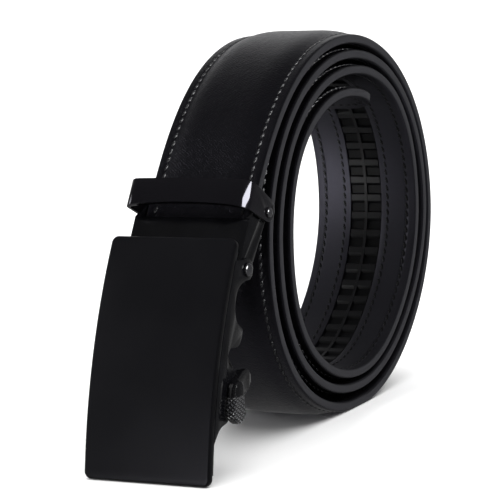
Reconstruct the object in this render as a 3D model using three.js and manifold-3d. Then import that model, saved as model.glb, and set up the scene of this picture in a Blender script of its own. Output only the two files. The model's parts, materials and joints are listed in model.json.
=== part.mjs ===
import * as THREE from "three";
import { mergeVertices } from "three/addons/utils/BufferGeometryUtils.js";
import Module from "manifold-3d";

// A ratchet belt: a long leather strap coiled with its toothed tail inside, and an automatic
// buckle at its fixed end. X runs across the strap, -Y is the side of the face plate, +Z is up.
// The belt stands on the flattened bottom of its coil and on the lower edge of its face plate.

const wasm = await Module();
wasm.setup();

// The clear space between two pieces, and how near two mesh points are one, mm
const clearance = 0.3;
const weldDistance = 1e-5;

// Strap, mm
const strapWidth = 35;
const strapThickness = 2.9;
const strapEdgeChamfer = 0.6;
const tipCornerRadius = 9;
const strapStep = 6.6;

// Coil, mm: its outermost radius, the widest gap between two turns, and how far the leather
// flattens where it stands
const coilRadius = 56.5;
const coilLooseness = 3;
const restFlattening = 0.25;
const coilBehindHinge = 72.15;

// Coil angles, degrees from the top of the innermost turn, counted towards the front
const tipAngle = -33;
const leadAngle = 1110;

// The coil in eighths of a turn, from its front round its bottom, back and top. "outside" is the
// radius of the outermost full turn as a share of coilRadius. Each gap is the clear space to the
// next turn outwards, as a share of coilLooseness.
const coilEighths = [
  { place: "front", outside: 0.959, outerGap: 1.03, middleGap: 1.23, innerGap: 1.2 },
  { place: "front lower", outside: 1.044, outerGap: 1.0, middleGap: 1.07, innerGap: 1.2 },
  { place: "bottom", outside: 1.003, outerGap: 0.73, middleGap: 0.37, innerGap: 1.2 },
  { place: "back lower", outside: 0.949, outerGap: 0.57, middleGap: 0.57, innerGap: 1.4 },
  { place: "back", outside: 0.966, outerGap: 0.2, middleGap: 0.9, innerGap: 1.7 },
  { place: "back upper", outside: 1.0, outerGap: 0.2, middleGap: 0.37, innerGap: 1.93 },
  { place: "top", outside: 1.002, outerGap: 0.6, middleGap: 0.67, innerGap: 1.17 },
  { place: "front upper", outside: 1.009, outerGap: 0.67, middleGap: 0.8, innerGap: 0.9 },
];
const outsideStart = 18;
const outsideEnd = 25;
const innermostEighth = -2;

// Ratchet track, mm: the toothed strip in its groove
const grooveWidth = 11;
const grooveDepth = 1.5;
const trackFromTip = 35;
const trackBase = 0.45;
const toothHeight = 0.75;
const toothPitch = 6;
const toothCount = 48;
const ribWidth = 1;
const ribProud = 0.1;

// One tooth: "along" is a share of the pitch, "height" a share of toothHeight
const toothShape = [
  { along: 0, height: 0 },
  { along: 0.52, height: 1 },
  { along: 0.92, height: 1 },
];

// Where the strap's rounded tip gets a section, as shares of its corner radius
const tipShares = [0, 0.1, 0.3, 0.6];

// How finely curves are cut: the coil's route in degrees, its lead to the clamp in points, the
// face plate and the web behind it in mm, and the segments of a small, a middling and a wide arc
const routeStepDegrees = 3;
const leadSteps = 24;
const plateStep = 6.5;
const webStep = 5;
const smallArcSegments = 3;
const arcSegments = 5;
const wideArcSegments = 10;

// Buckle posture, degrees from upright, and the clamp's turn against the face plate
const buckleTilt = 21.07;
const clampTurn = 11.3;

// Face plate, mm: a slab bent to one radius, its edge eased all round; plateOverhang is how far
// it stands out beside the housing's walls
const plateOverhang = 0.1;
const plateLength = 69.6;
const plateThickness = 2.2;
const plateRadius = 180;
const plateCornerRadius = 2;
const plateEdgeEase = 0.7;

// Hinge axis from the face plate's top front edge, mm
const hingeBelowPlateTop = 7.5;
const hingeBehindPlateTop = 8.2;

// Sheet metal, mm
const flangeSheet = 1.1;
const wallSheet = 1.0;
const webSheet = 1.0;
const barSheet = 1.8;
const armSheet = 1.0;

// Pins and rivets, mm
const pinRadius = 1.2;
const pinHeadRadius = 1.9;
const pinHeadHeight = 0.9;
const rivetRadius = 0.9;
const rivetHeadRadius = 1.4;
const rivetHeadHeight = 0.6;
const roundSides = 16;
const easeSegments = 2;

// A pin head's dome, as shares of the head's radius and height
const headDome = { radius: 0.6, height: 0.85 };
const headShoulder = { radius: 1, height: 0.3 };

// Clamp, mm, along the strap from the hinge axis and behind it
const clampFrontOffset = 2.5;
const clampTop = 14.5;
const clampBottom = 2;
const clampEarRadius = 3.1;
const clampRearLow = { along: 4.6, behind: 4.5 };
const clampRearHigh = { along: 16.8, behind: 6.1 };
const loopPivot = { along: 19.3, behind: 4.8 };
const clampLugRadius = 3;
const clampLugArc = { fromDegrees: -30, toDegrees: 144 };
const strapFrontInClamp = 0.4;
const strapEndAlong = 2.6;
const clampMouthAlong = 17;
const ridgeAlong = 8.5;
const ridgeHalfWidth = 1.5;
const ridgeCrestHalfWidth = 0.3;
const jawSheet = 1.1;
const jawLow = 5;
const jawHigh = 15;

// Keeper loop, mm; its arms narrow from the bar to their round ends
const loopBarFront = 8.3;
const loopLow = 15.6;
const loopHigh = 24.3;
const loopCornerRadius = 3.2;
const loopInnerCorner = 1;
const loopArmEndRadius = 3.35;
const loopTopCrown = 0.4;
const loopBottomBow = 1.3;

// Housing, mm: the web behind the face plate, and the ear and lug of its side walls
const webTopInset = 3.5;
const webBottomInset = 3.5;
const wallBottomInset = 11.6;
const wallTopInset = 6.2;
const earRadius = 3.3;
const earArc = { fromDegrees: -45, toDegrees: 135 };
const lugRadius = 2.7;
const lugArc = { fromDegrees: -45, toDegrees: 144 };
const leverDownShare = 0.546;
const leverBelowPlateTop = leverDownShare * plateLength;
const leverBehindPlateTop = 11.2;

// The scalloped rear edge of a side wall, as shares: "down" of the way from the hinge to the lever
// axis for the upper edge, and from there to the wall's lower end for the lower one; "back" of the
// depth from the face plate's chord to the lever axis
const wallUpperEdge = [
  { down: 0.101, back: 0.74 },
  { down: 0.144, back: 0.54 },
  { down: 0.197, back: 0.41 },
  { down: 0.247, back: 0.35 },
  { down: 0.329, back: 0.32 },
  { down: 0.411, back: 0.37 },
  { down: 0.482, back: 0.46 },
  { down: 0.516, back: 0.58 },
  { down: 0.537, back: 0.77 },
  { down: 0.576, back: 0.84 },
  { down: 0.653, back: 0.81 },
  { down: 0.708, back: 0.72 },
  { down: 0.735, back: 0.55 },
  { down: 0.749, back: 0.37 },
  { down: 0.792, back: 0.27 },
  { down: 0.845, back: 0.26 },
  { down: 0.9, back: 0.35 },
  { down: 0.922, back: 0.5 },
];
const wallLowerEdge = [
  { down: 0.202, back: 0.84 },
  { down: 0.397, back: 0.72 },
  { down: 0.613, back: 0.62 },
  { down: 0.686, back: 0.45 },
  { down: 0.731, back: 0.32 },
  { down: 0.828, back: 0.19 },
];

// Pawl and release lever, mm
const barrelRadius = 2.2;
const bladeThickness = 1.5;
const bladeReach = 8.2;
const bladeLeanDegrees = 36;
const leverEarRadius = 3;
const leverEarThickness = 1.4;
const neckFrontDegrees = 53;
const neckRearDegrees = 45;
const padEase = 0.6;
const padThickness = 2.7;
const padEndRadius = 3.7;
const padTopRadius = 2.5;
const padEndDown = 9.2;
const padEndForward = 3.3;
const padTopDown = 3.4;
const padTopForward = 4.6;

// Finishes
const leather = new THREE.MeshStandardMaterial({ color: 0x15151a, roughness: 0.55, metalness: 0 });
const trackPlastic = new THREE.MeshStandardMaterial({ color: 0x1a1a1a, roughness: 0.45, metalness: 0 });
const mattePaint = new THREE.MeshStandardMaterial({ color: 0x08080a, roughness: 0.5, metalness: 0.2 });
const blackSteel = new THREE.MeshStandardMaterial({ color: 0x17171a, roughness: 0.25, metalness: 0.9 });

// Half widths of the layers beside the strap, from the strap outwards
const flangeInner = strapWidth / 2 + clearance;
const flangeOuter = flangeInner + flangeSheet;
const wallInner = flangeOuter + clearance;
const wallOuter = wallInner + wallSheet;
const armOuter = wallInner + armSheet;
const plateWidth = 2 * (wallOuter + plateOverhang);

const radians = THREE.MathUtils.degToRad;

// Turns a mesh the right way round, with its faces pointing out
function facingOut(geometry) {
  const index = geometry.getIndex();
  const position = geometry.getAttribute("position");
  const corners = [new THREE.Vector3(), new THREE.Vector3(), new THREE.Vector3()];
  let volume = 0;
  for (let face = 0; face < index.count; face += 3) {
    corners.forEach((corner, i) => corner.fromBufferAttribute(position, index.getX(face + i)));
    volume += corners[0].dot(corners[1].clone().cross(corners[2]));
  }
  if (volume < 0) {
    for (let face = 0; face < index.count; face += 3) {
      const second = index.getX(face + 1);
      index.setX(face + 1, index.getX(face + 2));
      index.setX(face + 2, second);
    }
  }
  return geometry;
}

// Skins a row of like sections, each { outline, place }: outline is a list of Vector2, and place
// puts such a point in space
function loft(sections) {
  const count = sections[0].outline.length;
  const points = sections.flatMap(({ outline, place }) => outline.map(place));
  const faces = [];
  for (let row = 0; row < sections.length - 1; row++) {
    for (let i = 0; i < count; i++) {
      const a = row * count + i;
      const b = row * count + ((i + 1) % count);
      faces.push(a, b, b + count, a, b + count, a + count);
    }
  }
  const closeEnd = (row, backwards) => {
    const { outline } = sections[row];
    for (const [a, b, c] of THREE.ShapeUtils.triangulateShape(outline, [])) {
      const sameWay = THREE.ShapeUtils.isClockWise([outline[a], outline[b], outline[c]])
        === THREE.ShapeUtils.isClockWise(outline);
      const corners = sameWay === backwards ? [a, c, b] : [a, b, c];
      faces.push(...corners.map((corner) => row * count + corner));
    }
  };
  closeEnd(0, true);
  closeEnd(sections.length - 1, false);
  const geometry = new THREE.BufferGeometry();
  geometry.setAttribute("position", new THREE.Float32BufferAttribute(points.flatMap((p) => p.toArray()), 3));
  geometry.setIndex(faces);
  return facingOut(geometry);
}

// Extrudes a side profile, drawn as (behind, up), across the strap from one X to another
function acrossStrap(shape, fromX, toX, curveSegments = roundSides / 4, ease = 0) {
  const geometry = new THREE.ExtrudeGeometry(shape, {
    depth: toX - fromX - 2 * ease,
    bevelEnabled: ease > 0,
    bevelThickness: ease,
    bevelSize: ease,
    bevelOffset: -ease,
    bevelSegments: easeSegments,
    curveSegments,
    steps: 1,
  });
  geometry.translate(0, 0, fromX + ease);
  const toSide = new THREE.Matrix4().makeBasis(
    new THREE.Vector3(0, 1, 0),
    new THREE.Vector3(0, 0, 1),
    new THREE.Vector3(1, 0, 0),
  );
  return geometry.applyMatrix4(toSide);
}

// A closed mesh as a solid for cutting and joining, and back
function solidOf(geometry) {
  const bare = geometry.clone();
  bare.deleteAttribute("normal");
  bare.deleteAttribute("uv");
  const merged = mergeVertices(bare, weldDistance);
  return new wasm.Manifold(new wasm.Mesh({
    numProp: 3,
    vertProperties: new Float32Array(merged.getAttribute("position").array),
    triVerts: new Uint32Array(merged.getIndex().array),
  }));
}

function geometryOf(solid) {
  const mesh = solid.getMesh();
  const geometry = new THREE.BufferGeometry();
  geometry.setAttribute("position", new THREE.BufferAttribute(mesh.vertProperties, 3));
  geometry.setIndex(new THREE.BufferAttribute(mesh.triVerts, 1));
  return geometry;
}

function joined(first, ...others) {
  return geometryOf(others.reduce((sum, other) => sum.add(solidOf(other)), solidOf(first)));
}

function circlePath(behind, up, radius) {
  return new THREE.Path().absarc(behind, up, radius, 0, 2 * Math.PI, false);
}

function addArc(shape, centre, radius, { fromDegrees, toDegrees }) {
  shape.absarc(centre.x, centre.y, radius, radians(fromDegrees), radians(toDegrees), false);
}

// A pin or rivet along X: a shank between two domed heads, either of which may be missing
function pinAlongX({ from, to, radius, headRadius, headHeight, headAtStart, headAtEnd }) {
  const headPoints = (root, out) => [
    new THREE.Vector2(0, root + out * headHeight),
    new THREE.Vector2(headRadius * headDome.radius, root + out * headHeight * headDome.height),
    new THREE.Vector2(headRadius * headShoulder.radius, root + out * headHeight * headShoulder.height),
    new THREE.Vector2(headRadius, root),
  ];
  const profile = [
    ...(headAtStart ? headPoints(from, -1) : [new THREE.Vector2(0, from)]),
    new THREE.Vector2(radius, from),
    new THREE.Vector2(radius, to),
    ...(headAtEnd ? headPoints(to, 1).reverse() : [new THREE.Vector2(0, to)]),
  ];
  const geometry = new THREE.LatheGeometry(profile, roundSides);
  geometry.deleteAttribute("normal");
  geometry.deleteAttribute("uv");
  geometry.rotateZ(-Math.PI / 2);
  return facingOut(withoutSlivers(mergeVertices(geometry, weldDistance)));
}

// Drops the flat triangles that a lathe leaves on its axis
function withoutSlivers(geometry) {
  const index = Array.from(geometry.getIndex().array);
  const kept = [];
  for (let face = 0; face < index.length; face += 3) {
    const [a, b, c] = index.slice(face, face + 3);
    if (a !== b && b !== c && c !== a) kept.push(a, b, c);
  }
  geometry.setIndex(kept);
  return geometry;
}

// Side view of the strap: radius of its outer face at a place counted in eighths of a turn
function eighthRadius(eighth) {
  const row = coilEighths[(((eighth - outsideStart) % 8) + 8) % 8];
  if (eighth >= outsideStart) return row.outside * coilRadius;
  const turnsIn = Math.ceil((outsideStart - eighth) / 8);
  const gap = [row.outerGap, row.middleGap, row.innerGap][turnsIn - 1];
  return eighthRadius(eighth + 8) - strapThickness - gap * coilLooseness;
}

const radiusCurve = new THREE.SplineCurve(
  Array.from({ length: outsideEnd - innermostEighth + 1 }, (_, i) => {
    const eighth = innermostEighth + i;
    return new THREE.Vector2(eighth, eighthRadius(eighth));
  }),
);

function coilPoint(degrees) {
  const share = (degrees / 45 - innermostEighth) / (outsideEnd - innermostEighth);
  const radius = radiusCurve.getPoint(share).y;
  const angle = radians(degrees);
  return new THREE.Vector2(-radius * Math.sin(angle), radius * Math.cos(angle));
}

// The face plate's curve, from the hinge axis: the centre of its bend, and the end angle
const plateHalfAngle = Math.asin(plateLength / 2 / plateRadius);
const plateBendCentre = new THREE.Vector2(
  -hingeBehindPlateTop + plateRadius * Math.cos(plateHalfAngle),
  hingeBelowPlateTop - plateLength / 2,
);

// A point of the face plate's curve at a depth behind its front and a height on the buckle
function plateCurvePoint(depth, up) {
  const radius = plateRadius - depth;
  const rise = up - plateBendCentre.y;
  return new THREE.Vector2(plateBendCentre.x - Math.sqrt(radius * radius - rise * rise), up);
}

// Turns a point of the buckle's or the clamp's own side view to the upright side view
function turned(behind, up, tiltDegrees) {
  return new THREE.Vector2(behind, up).rotateAround(new THREE.Vector2(), -radians(tiltDegrees));
}

// The hinge stands as high as the face plate's lower edge asks
const plateFoot = [0, plateThickness].map((depth) => {
  const radius = plateRadius - depth;
  const behind = plateBendCentre.x - radius * Math.cos(plateHalfAngle);
  const up = plateBendCentre.y - radius * Math.sin(plateHalfAngle);
  return turned(behind, up, buckleTilt).y;
});
const hingeHeight = -Math.min(...plateFoot);
const clampTilt = buckleTilt + clampTurn;

function clampPoint(along, behind) {
  return turned(behind, along, clampTilt).add(new THREE.Vector2(0, hingeHeight));
}

// The outer face of the strap in the side view, from its tip to its fixed end
function strapRoute() {
  const lowest = Math.min(
    ...Array.from({ length: 361 }, (_, i) => coilPoint(leadAngle - i).y),
  );
  const centre = new THREE.Vector2(coilBehindHinge, -lowest - restFlattening);
  const settled = (degrees) => {
    const point = coilPoint(degrees).add(centre);
    return new THREE.Vector2(point.x, Math.max(point.y, 0));
  };
  const coilSteps = Math.round((leadAngle - tipAngle) / routeStepDegrees);
  const points = Array.from({ length: coilSteps + 1 }, (_, i) => {
    return settled(tipAngle + ((leadAngle - tipAngle) * i) / coilSteps);
  });
  const leave = points[points.length - 1];
  const leaveWay = leave.clone().sub(points[points.length - 2]).normalize();
  const mouth = clampPoint(clampMouthAlong, strapFrontInClamp);
  const end = clampPoint(strapEndAlong, strapFrontInClamp);
  const mouthWay = end.clone().sub(mouth).normalize();
  const handle = leave.distanceTo(mouth) / 3;
  const lead = new THREE.CubicBezierCurve(
    leave,
    leave.clone().addScaledVector(leaveWay, handle),
    mouth.clone().addScaledVector(mouthWay, -handle),
    mouth,
  );
  points.push(...lead.getPoints(leadSteps).slice(1), end);
  return points;
}

// The strap's route by length: where it is, and its way on, at a distance from the tip
const route = strapRoute();
const routeLengths = route.map(() => 0);
for (let i = 1; i < route.length; i++) {
  routeLengths[i] = routeLengths[i - 1] + route[i].distanceTo(route[i - 1]);
}
const strapLength = routeLengths[routeLengths.length - 1];

function routeAt(distance) {
  const found = routeLengths.findIndex((length) => length >= distance);
  const next = Math.max(1, found < 0 ? route.length - 1 : found);
  const share = (distance - routeLengths[next - 1]) / (routeLengths[next] - routeLengths[next - 1]);
  const wayInto = (i) => {
    const from = route[Math.max(0, i - 1)];
    const to = route[Math.min(route.length - 1, i + 1)];
    return to.clone().sub(from).normalize();
  };
  return {
    point: route[next - 1].clone().lerp(route[next], share),
    way: wayInto(next - 1).lerp(wayInto(next), share).normalize(),
  };
}

// Places a section of the strap, drawn as (across, depth behind the outer face)
function strapSection(distance, outline) {
  const { point, way } = routeAt(distance);
  const inward = new THREE.Vector2(-way.y, way.x);
  return {
    outline,
    place: (corner) => new THREE.Vector3(
      corner.x,
      point.x + inward.x * corner.y,
      point.y + inward.y * corner.y,
    ),
  };
}

function steps(from, to, step) {
  const count = Math.max(1, Math.round((to - from) / step));
  return Array.from({ length: count + 1 }, (_, i) => from + ((to - from) * i) / count);
}

// Strap: an eight-sided section along the route, narrowed to the rounded tip, with the track's
// groove cut into its inner face
const trackLength = toothPitch * toothCount;

function buildStrap() {
  const outlineAt = (halfWidth) => {
    const c = strapEdgeChamfer;
    const t = strapThickness;
    return [
      new THREE.Vector2(-halfWidth + c, 0),
      new THREE.Vector2(halfWidth - c, 0),
      new THREE.Vector2(halfWidth, c),
      new THREE.Vector2(halfWidth, t - c),
      new THREE.Vector2(halfWidth - c, t),
      new THREE.Vector2(-halfWidth + c, t),
      new THREE.Vector2(-halfWidth, t - c),
      new THREE.Vector2(-halfWidth, c),
    ];
  };
  const tipStations = tipShares.map((share) => share * tipCornerRadius);
  const stations = [...tipStations, ...steps(tipCornerRadius, strapLength, strapStep)];
  const body = loft(stations.map((distance) => {
    const short = Math.max(0, tipCornerRadius - distance);
    const reach = Math.sqrt(tipCornerRadius ** 2 - short ** 2);
    return strapSection(distance, outlineAt(strapWidth / 2 - tipCornerRadius + reach));
  }));
  const half = grooveWidth / 2;
  const grooveOutline = [
    new THREE.Vector2(-half, strapThickness - grooveDepth),
    new THREE.Vector2(half, strapThickness - grooveDepth),
    new THREE.Vector2(half, strapThickness + clearance),
    new THREE.Vector2(-half, strapThickness + clearance),
  ];
  const grooveStart = trackFromTip - clearance;
  const grooveEnd = trackFromTip + trackLength + clearance;
  const groove = loft(steps(grooveStart, grooveEnd, toothPitch).map((distance) => {
    return strapSection(distance, grooveOutline);
  }));
  return geometryOf(solidOf(body).subtract(solidOf(groove)));
}

// Ratchet track: a strip with a middle rib and teeth on both sides of it, each tooth rising
// slowly away from the tip and dropping steeply
function buildTrack() {
  const floor = strapThickness - grooveDepth + clearance;
  const half = grooveWidth / 2 - clearance;
  const rib = ribWidth / 2;
  const ribTop = floor + trackBase + toothHeight + ribProud;
  const outlineAt = (height) => {
    const top = floor + trackBase + height;
    return [
      new THREE.Vector2(-half, floor),
      new THREE.Vector2(half, floor),
      new THREE.Vector2(half, top),
      new THREE.Vector2(rib, top),
      new THREE.Vector2(rib, ribTop),
      new THREE.Vector2(-rib, ribTop),
      new THREE.Vector2(-rib, top),
      new THREE.Vector2(-half, top),
    ];
  };
  const sections = [];
  for (let tooth = 0; tooth < toothCount; tooth++) {
    for (const { along, height } of toothShape) {
      const distance = trackFromTip + (tooth + along) * toothPitch;
      sections.push(strapSection(distance, outlineAt(height * toothHeight)));
    }
  }
  sections.push(strapSection(trackFromTip + trackLength, outlineAt(0)));
  return loft(sections);
}

// Clamp: a front plate with a biting ridge inside, between two flanges with an ear at the hinge
// and a lug at the loop's rivet
function buildClamp() {
  const front = -clampFrontOffset;
  const earMeet = Math.asin(clampFrontOffset / clampEarRadius);
  const flange = new THREE.Shape();
  flange.moveTo(front, clampTop);
  flange.lineTo(front, clampEarRadius * Math.cos(earMeet));
  flange.absarc(0, 0, clampEarRadius, Math.PI / 2 + earMeet, 2 * Math.PI, false);
  flange.lineTo(clampRearLow.behind, clampRearLow.along);
  flange.lineTo(clampRearHigh.behind, clampRearHigh.along);
  addArc(flange, new THREE.Vector2(loopPivot.behind, loopPivot.along), clampLugRadius, clampLugArc);
  flange.holes.push(circlePath(0, 0, pinRadius + clearance));
  flange.holes.push(circlePath(loopPivot.behind, loopPivot.along, rivetRadius + clearance));
  const plate = new THREE.Shape([
    new THREE.Vector2(front, clampBottom),
    new THREE.Vector2(front + flangeSheet, clampBottom),
    new THREE.Vector2(front + flangeSheet, clampTop),
    new THREE.Vector2(front, clampTop),
  ]);
  const ridgeRoot = front + flangeSheet / 2;
  const ridge = new THREE.Shape([
    new THREE.Vector2(ridgeRoot, ridgeAlong - ridgeHalfWidth),
    new THREE.Vector2(strapFrontInClamp - clearance, ridgeAlong - ridgeCrestHalfWidth),
    new THREE.Vector2(strapFrontInClamp - clearance, ridgeAlong + ridgeCrestHalfWidth),
    new THREE.Vector2(ridgeRoot, ridgeAlong + ridgeHalfWidth),
  ]);
  const middle = (flangeInner + flangeOuter) / 2;
  return joined(
    acrossStrap(flange, flangeInner, flangeOuter),
    acrossStrap(flange, -flangeOuter, -flangeInner),
    acrossStrap(plate, -middle, middle),
    acrossStrap(ridge, -flangeInner + clearance, flangeInner - clearance),
  );
}

function buildJaw() {
  const front = strapFrontInClamp + strapThickness + clearance;
  const side = new THREE.Shape([
    new THREE.Vector2(front, jawLow),
    new THREE.Vector2(front + jawSheet, jawLow),
    new THREE.Vector2(front + jawSheet, jawHigh),
    new THREE.Vector2(front, jawHigh),
  ]);
  return acrossStrap(side, -flangeInner + clearance, flangeInner - clearance);
}

// Keeper loop: the solid common to its plan, its side view and its front view
function buildLoop() {
  const front = -loopBarFront;
  const r = loopCornerRadius;
  const back = loopPivot.behind + loopArmEndRadius;
  const plan = new THREE.Shape();
  plan.moveTo(-armOuter, back);
  plan.lineTo(-armOuter, front + r);
  plan.absarc(-armOuter + r, front + r, r, Math.PI, 1.5 * Math.PI, false);
  plan.lineTo(armOuter - r, front);
  plan.absarc(armOuter - r, front + r, r, -Math.PI / 2, 0, false);
  plan.lineTo(armOuter, back);
  plan.lineTo(wallInner, back);
  plan.lineTo(wallInner, front + barSheet + loopInnerCorner);
  plan.lineTo(wallInner - loopInnerCorner, front + barSheet);
  plan.lineTo(loopInnerCorner - wallInner, front + barSheet);
  plan.lineTo(-wallInner, front + barSheet + loopInnerCorner);
  plan.lineTo(-wallInner, back);
  const planSolid = new THREE.ExtrudeGeometry(plan, {
    depth: loopHigh - loopLow + 2 * clearance,
    bevelEnabled: false,
    curveSegments: arcSegments,
  }).translate(0, 0, loopLow - clearance);

  const middle = (loopLow + loopHigh) / 2;
  const side = new THREE.Shape();
  side.moveTo(front - clearance, loopLow);
  side.lineTo(loopPivot.behind, middle - loopArmEndRadius);
  side.absarc(loopPivot.behind, middle, loopArmEndRadius, -Math.PI / 2, Math.PI / 2, false);
  side.lineTo(front - clearance, loopHigh);
  side.holes.push(circlePath(loopPivot.behind, loopPivot.along, rivetRadius + clearance));
  const sideSolid = acrossStrap(side, -armOuter - clearance, armOuter + clearance, arcSegments);

  const elevation = new THREE.Shape();
  elevation.moveTo(-armOuter - clearance, loopLow);
  elevation.quadraticCurveTo(0, loopLow + 2 * loopBottomBow, armOuter + clearance, loopLow);
  elevation.lineTo(armOuter + clearance, loopHigh - loopTopCrown);
  elevation.quadraticCurveTo(0, loopHigh + loopTopCrown, -armOuter - clearance, loopHigh - loopTopCrown);
  const elevationSolid = new THREE.ExtrudeGeometry(elevation, {
    depth: back - front + 2 * clearance,
    bevelEnabled: false,
    curveSegments: wideArcSegments,
  }).rotateX(Math.PI / 2).translate(0, back + clearance, 0);

  const common = solidOf(planSolid).intersect(solidOf(sideSolid)).intersect(solidOf(elevationSolid));
  return geometryOf(common);
}

// Face plate: sections across, one after another along its bend
function buildFacePlate() {
  const arcLength = 2 * plateHalfAngle * plateRadius;
  const ends = [0, plateEdgeEase, plateCornerRadius / 2, plateCornerRadius];
  const fromTop = [
    ...ends,
    ...steps(plateCornerRadius, arcLength - plateCornerRadius, plateStep).slice(1, -1),
    ...ends.map((end) => arcLength - end).reverse(),
  ];
  return loft(fromTop.map((distance) => {
    const fromEnd = Math.min(distance, arcLength - distance);
    const short = Math.max(0, plateCornerRadius - fromEnd);
    const reach = Math.sqrt(Math.max(0, plateCornerRadius ** 2 - short ** 2));
    const half = plateWidth / 2 - plateCornerRadius + reach;
    const front = Math.max(0, plateEdgeEase - fromEnd);
    const side = front + plateEdgeEase;
    const angle = plateHalfAngle - distance / plateRadius;
    return {
      outline: [
        new THREE.Vector2(-half + plateEdgeEase, front),
        new THREE.Vector2(half - plateEdgeEase, front),
        new THREE.Vector2(half, side),
        new THREE.Vector2(half, plateThickness),
        new THREE.Vector2(-half, plateThickness),
        new THREE.Vector2(-half, side),
      ],
      place: ({ x, y: depth }) => new THREE.Vector3(
        x,
        plateBendCentre.x - (plateRadius - depth) * Math.cos(angle),
        plateBendCentre.y + (plateRadius - depth) * Math.sin(angle),
      ),
    };
  }));
}

// Housing: a bent web behind the face plate and two scalloped side walls
const leverAxis = new THREE.Vector2(
  leverBehindPlateTop - hingeBehindPlateTop,
  hingeBelowPlateTop - leverBelowPlateTop,
);

function buildHousing() {
  const webFront = plateThickness + clearance;
  const top = hingeBelowPlateTop;
  const curve = (depth, from, to) => {
    return steps(from, to, Math.sign(to - from) * webStep).map((up) => plateCurvePoint(depth, up));
  };
  const webTop = top - webTopInset;
  const webBottom = top - plateLength + webBottomInset;
  const web = new THREE.Shape([
    ...curve(webFront, webTop, webBottom),
    ...curve(webFront + webSheet, webBottom, webTop),
  ]);

  const wallTop = top - wallTopInset;
  const wallBottom = top - plateLength + wallBottomInset;
  const rearEdge = (table, fromUp, toUp) => [...table].reverse().map(({ down, back }) => new THREE.Vector2(
    back * leverBehindPlateTop - hingeBehindPlateTop,
    THREE.MathUtils.lerp(fromUp, toUp, down),
  ));
  const wall = new THREE.Shape();
  const frontEdge = curve(webFront, wallTop, wallBottom);
  wall.moveTo(frontEdge[0].x, frontEdge[0].y);
  frontEdge.slice(1).forEach((point) => wall.lineTo(point.x, point.y));
  wall.splineThru(rearEdge(wallLowerEdge, leverAxis.y, wallBottom));
  addArc(wall, leverAxis, lugRadius, lugArc);
  wall.splineThru(rearEdge(wallUpperEdge, 0, leverAxis.y));
  addArc(wall, new THREE.Vector2(), earRadius, earArc);
  wall.holes.push(circlePath(0, 0, pinRadius + clearance));
  wall.holes.push(circlePath(leverAxis.x, leverAxis.y, pinRadius + clearance));
  const middle = (wallInner + wallOuter) / 2;
  return joined(
    acrossStrap(wall, wallInner, wallOuter, smallArcSegments),
    acrossStrap(wall, -wallOuter, -wallInner, smallArcSegments),
    acrossStrap(web, -middle, middle),
  );
}

// Pawl: a barrel on the lever's axle, and a blade that leans to the tail's way in
function buildPawl() {
  const lean = radians(bladeLeanDegrees);
  const reach = new THREE.Vector2(-Math.sin(Math.PI / 2 - lean), Math.cos(Math.PI / 2 - lean))
    .multiplyScalar(bladeReach);
  const half = new THREE.Vector2(reach.y, -reach.x).setLength(bladeThickness / 2);
  const blade = new THREE.Shape([
    new THREE.Vector2(half.x, half.y),
    new THREE.Vector2(reach.x + half.x, reach.y + half.y),
    new THREE.Vector2(reach.x - half.x, reach.y - half.y),
    new THREE.Vector2(-half.x, -half.y),
  ]);
  const barrel = new THREE.Shape().absarc(0, 0, barrelRadius, 0, 2 * Math.PI, false);
  const bore = new THREE.Shape().absarc(0, 0, pinRadius + clearance, 0, 2 * Math.PI, false);
  const halfLength = wallInner - clearance;
  const body = solidOf(acrossStrap(blade, -halfLength, halfLength))
    .add(solidOf(acrossStrap(barrel, -halfLength, halfLength)))
    .subtract(solidOf(acrossStrap(bore, -halfLength - clearance, halfLength + clearance)));
  return geometryOf(body);
}

// Release lever: a thin ear over the axle's end, and a thicker thumb pad hanging from it
function buildLever() {
  const inner = wallOuter + clearance;
  const ear = new THREE.Shape().absarc(0, 0, leverEarRadius, 0, 2 * Math.PI, false);
  const padTop = new THREE.Vector2(-padTopForward, -padTopDown);
  const padEnd = new THREE.Vector2(-padEndForward, -padEndDown);
  const neck = new THREE.Shape([
    new THREE.Vector2(0, leverEarRadius).rotateAround(new THREE.Vector2(), radians(neckFrontDegrees)),
    new THREE.Vector2(padTop.x - padTopRadius, padTop.y),
    padEnd,
    new THREE.Vector2(0, -leverEarRadius).rotateAround(new THREE.Vector2(), radians(neckRearDegrees)),
  ]);
  const pad = new THREE.Shape();
  addArc(pad, padEnd, padEndRadius, { fromDegrees: 180, toDegrees: 360 });
  addArc(pad, padTop, padTopRadius, { fromDegrees: 0, toDegrees: 180 });
  return joined(
    acrossStrap(ear, inner, inner + leverEarThickness, arcSegments),
    acrossStrap(neck, inner, inner + leverEarThickness),
    acrossStrap(pad, inner, inner + padThickness, arcSegments, padEase),
  );
}

function part(name, geometry, material) {
  const mesh = new THREE.Mesh(geometry, material);
  mesh.name = name;
  return mesh;
}

// What swings with the buckle, drawn from the hinge axis
const buckle = new THREE.Group();
buckle.rotation.x = -radians(buckleTilt);
buckle.position.z = hingeHeight;
buckle.add(part("face_plate", buildFacePlate(), mattePaint));
buckle.add(part("buckle_housing", buildHousing(), blackSteel));
const headGap = wallOuter + clearance;
buckle.add(part("hinge_pin", pinAlongX({
  from: -headGap,
  to: headGap,
  radius: pinRadius,
  headRadius: pinHeadRadius,
  headHeight: pinHeadHeight,
  headAtStart: true,
  headAtEnd: true,
}), blackSteel));

// What turns with the lever, drawn from its axis
const lever = new THREE.Group();
lever.position.set(0, leverAxis.x, leverAxis.y);
lever.add(part("pawl", buildPawl(), blackSteel));
lever.add(part("lever_axle", pinAlongX({
  from: -headGap,
  to: wallOuter,
  radius: pinRadius,
  headRadius: pinHeadRadius,
  headHeight: pinHeadHeight,
  headAtStart: true,
  headAtEnd: false,
}), blackSteel));
lever.add(part("release_lever", buildLever(), blackSteel));
buckle.add(lever);

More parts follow.
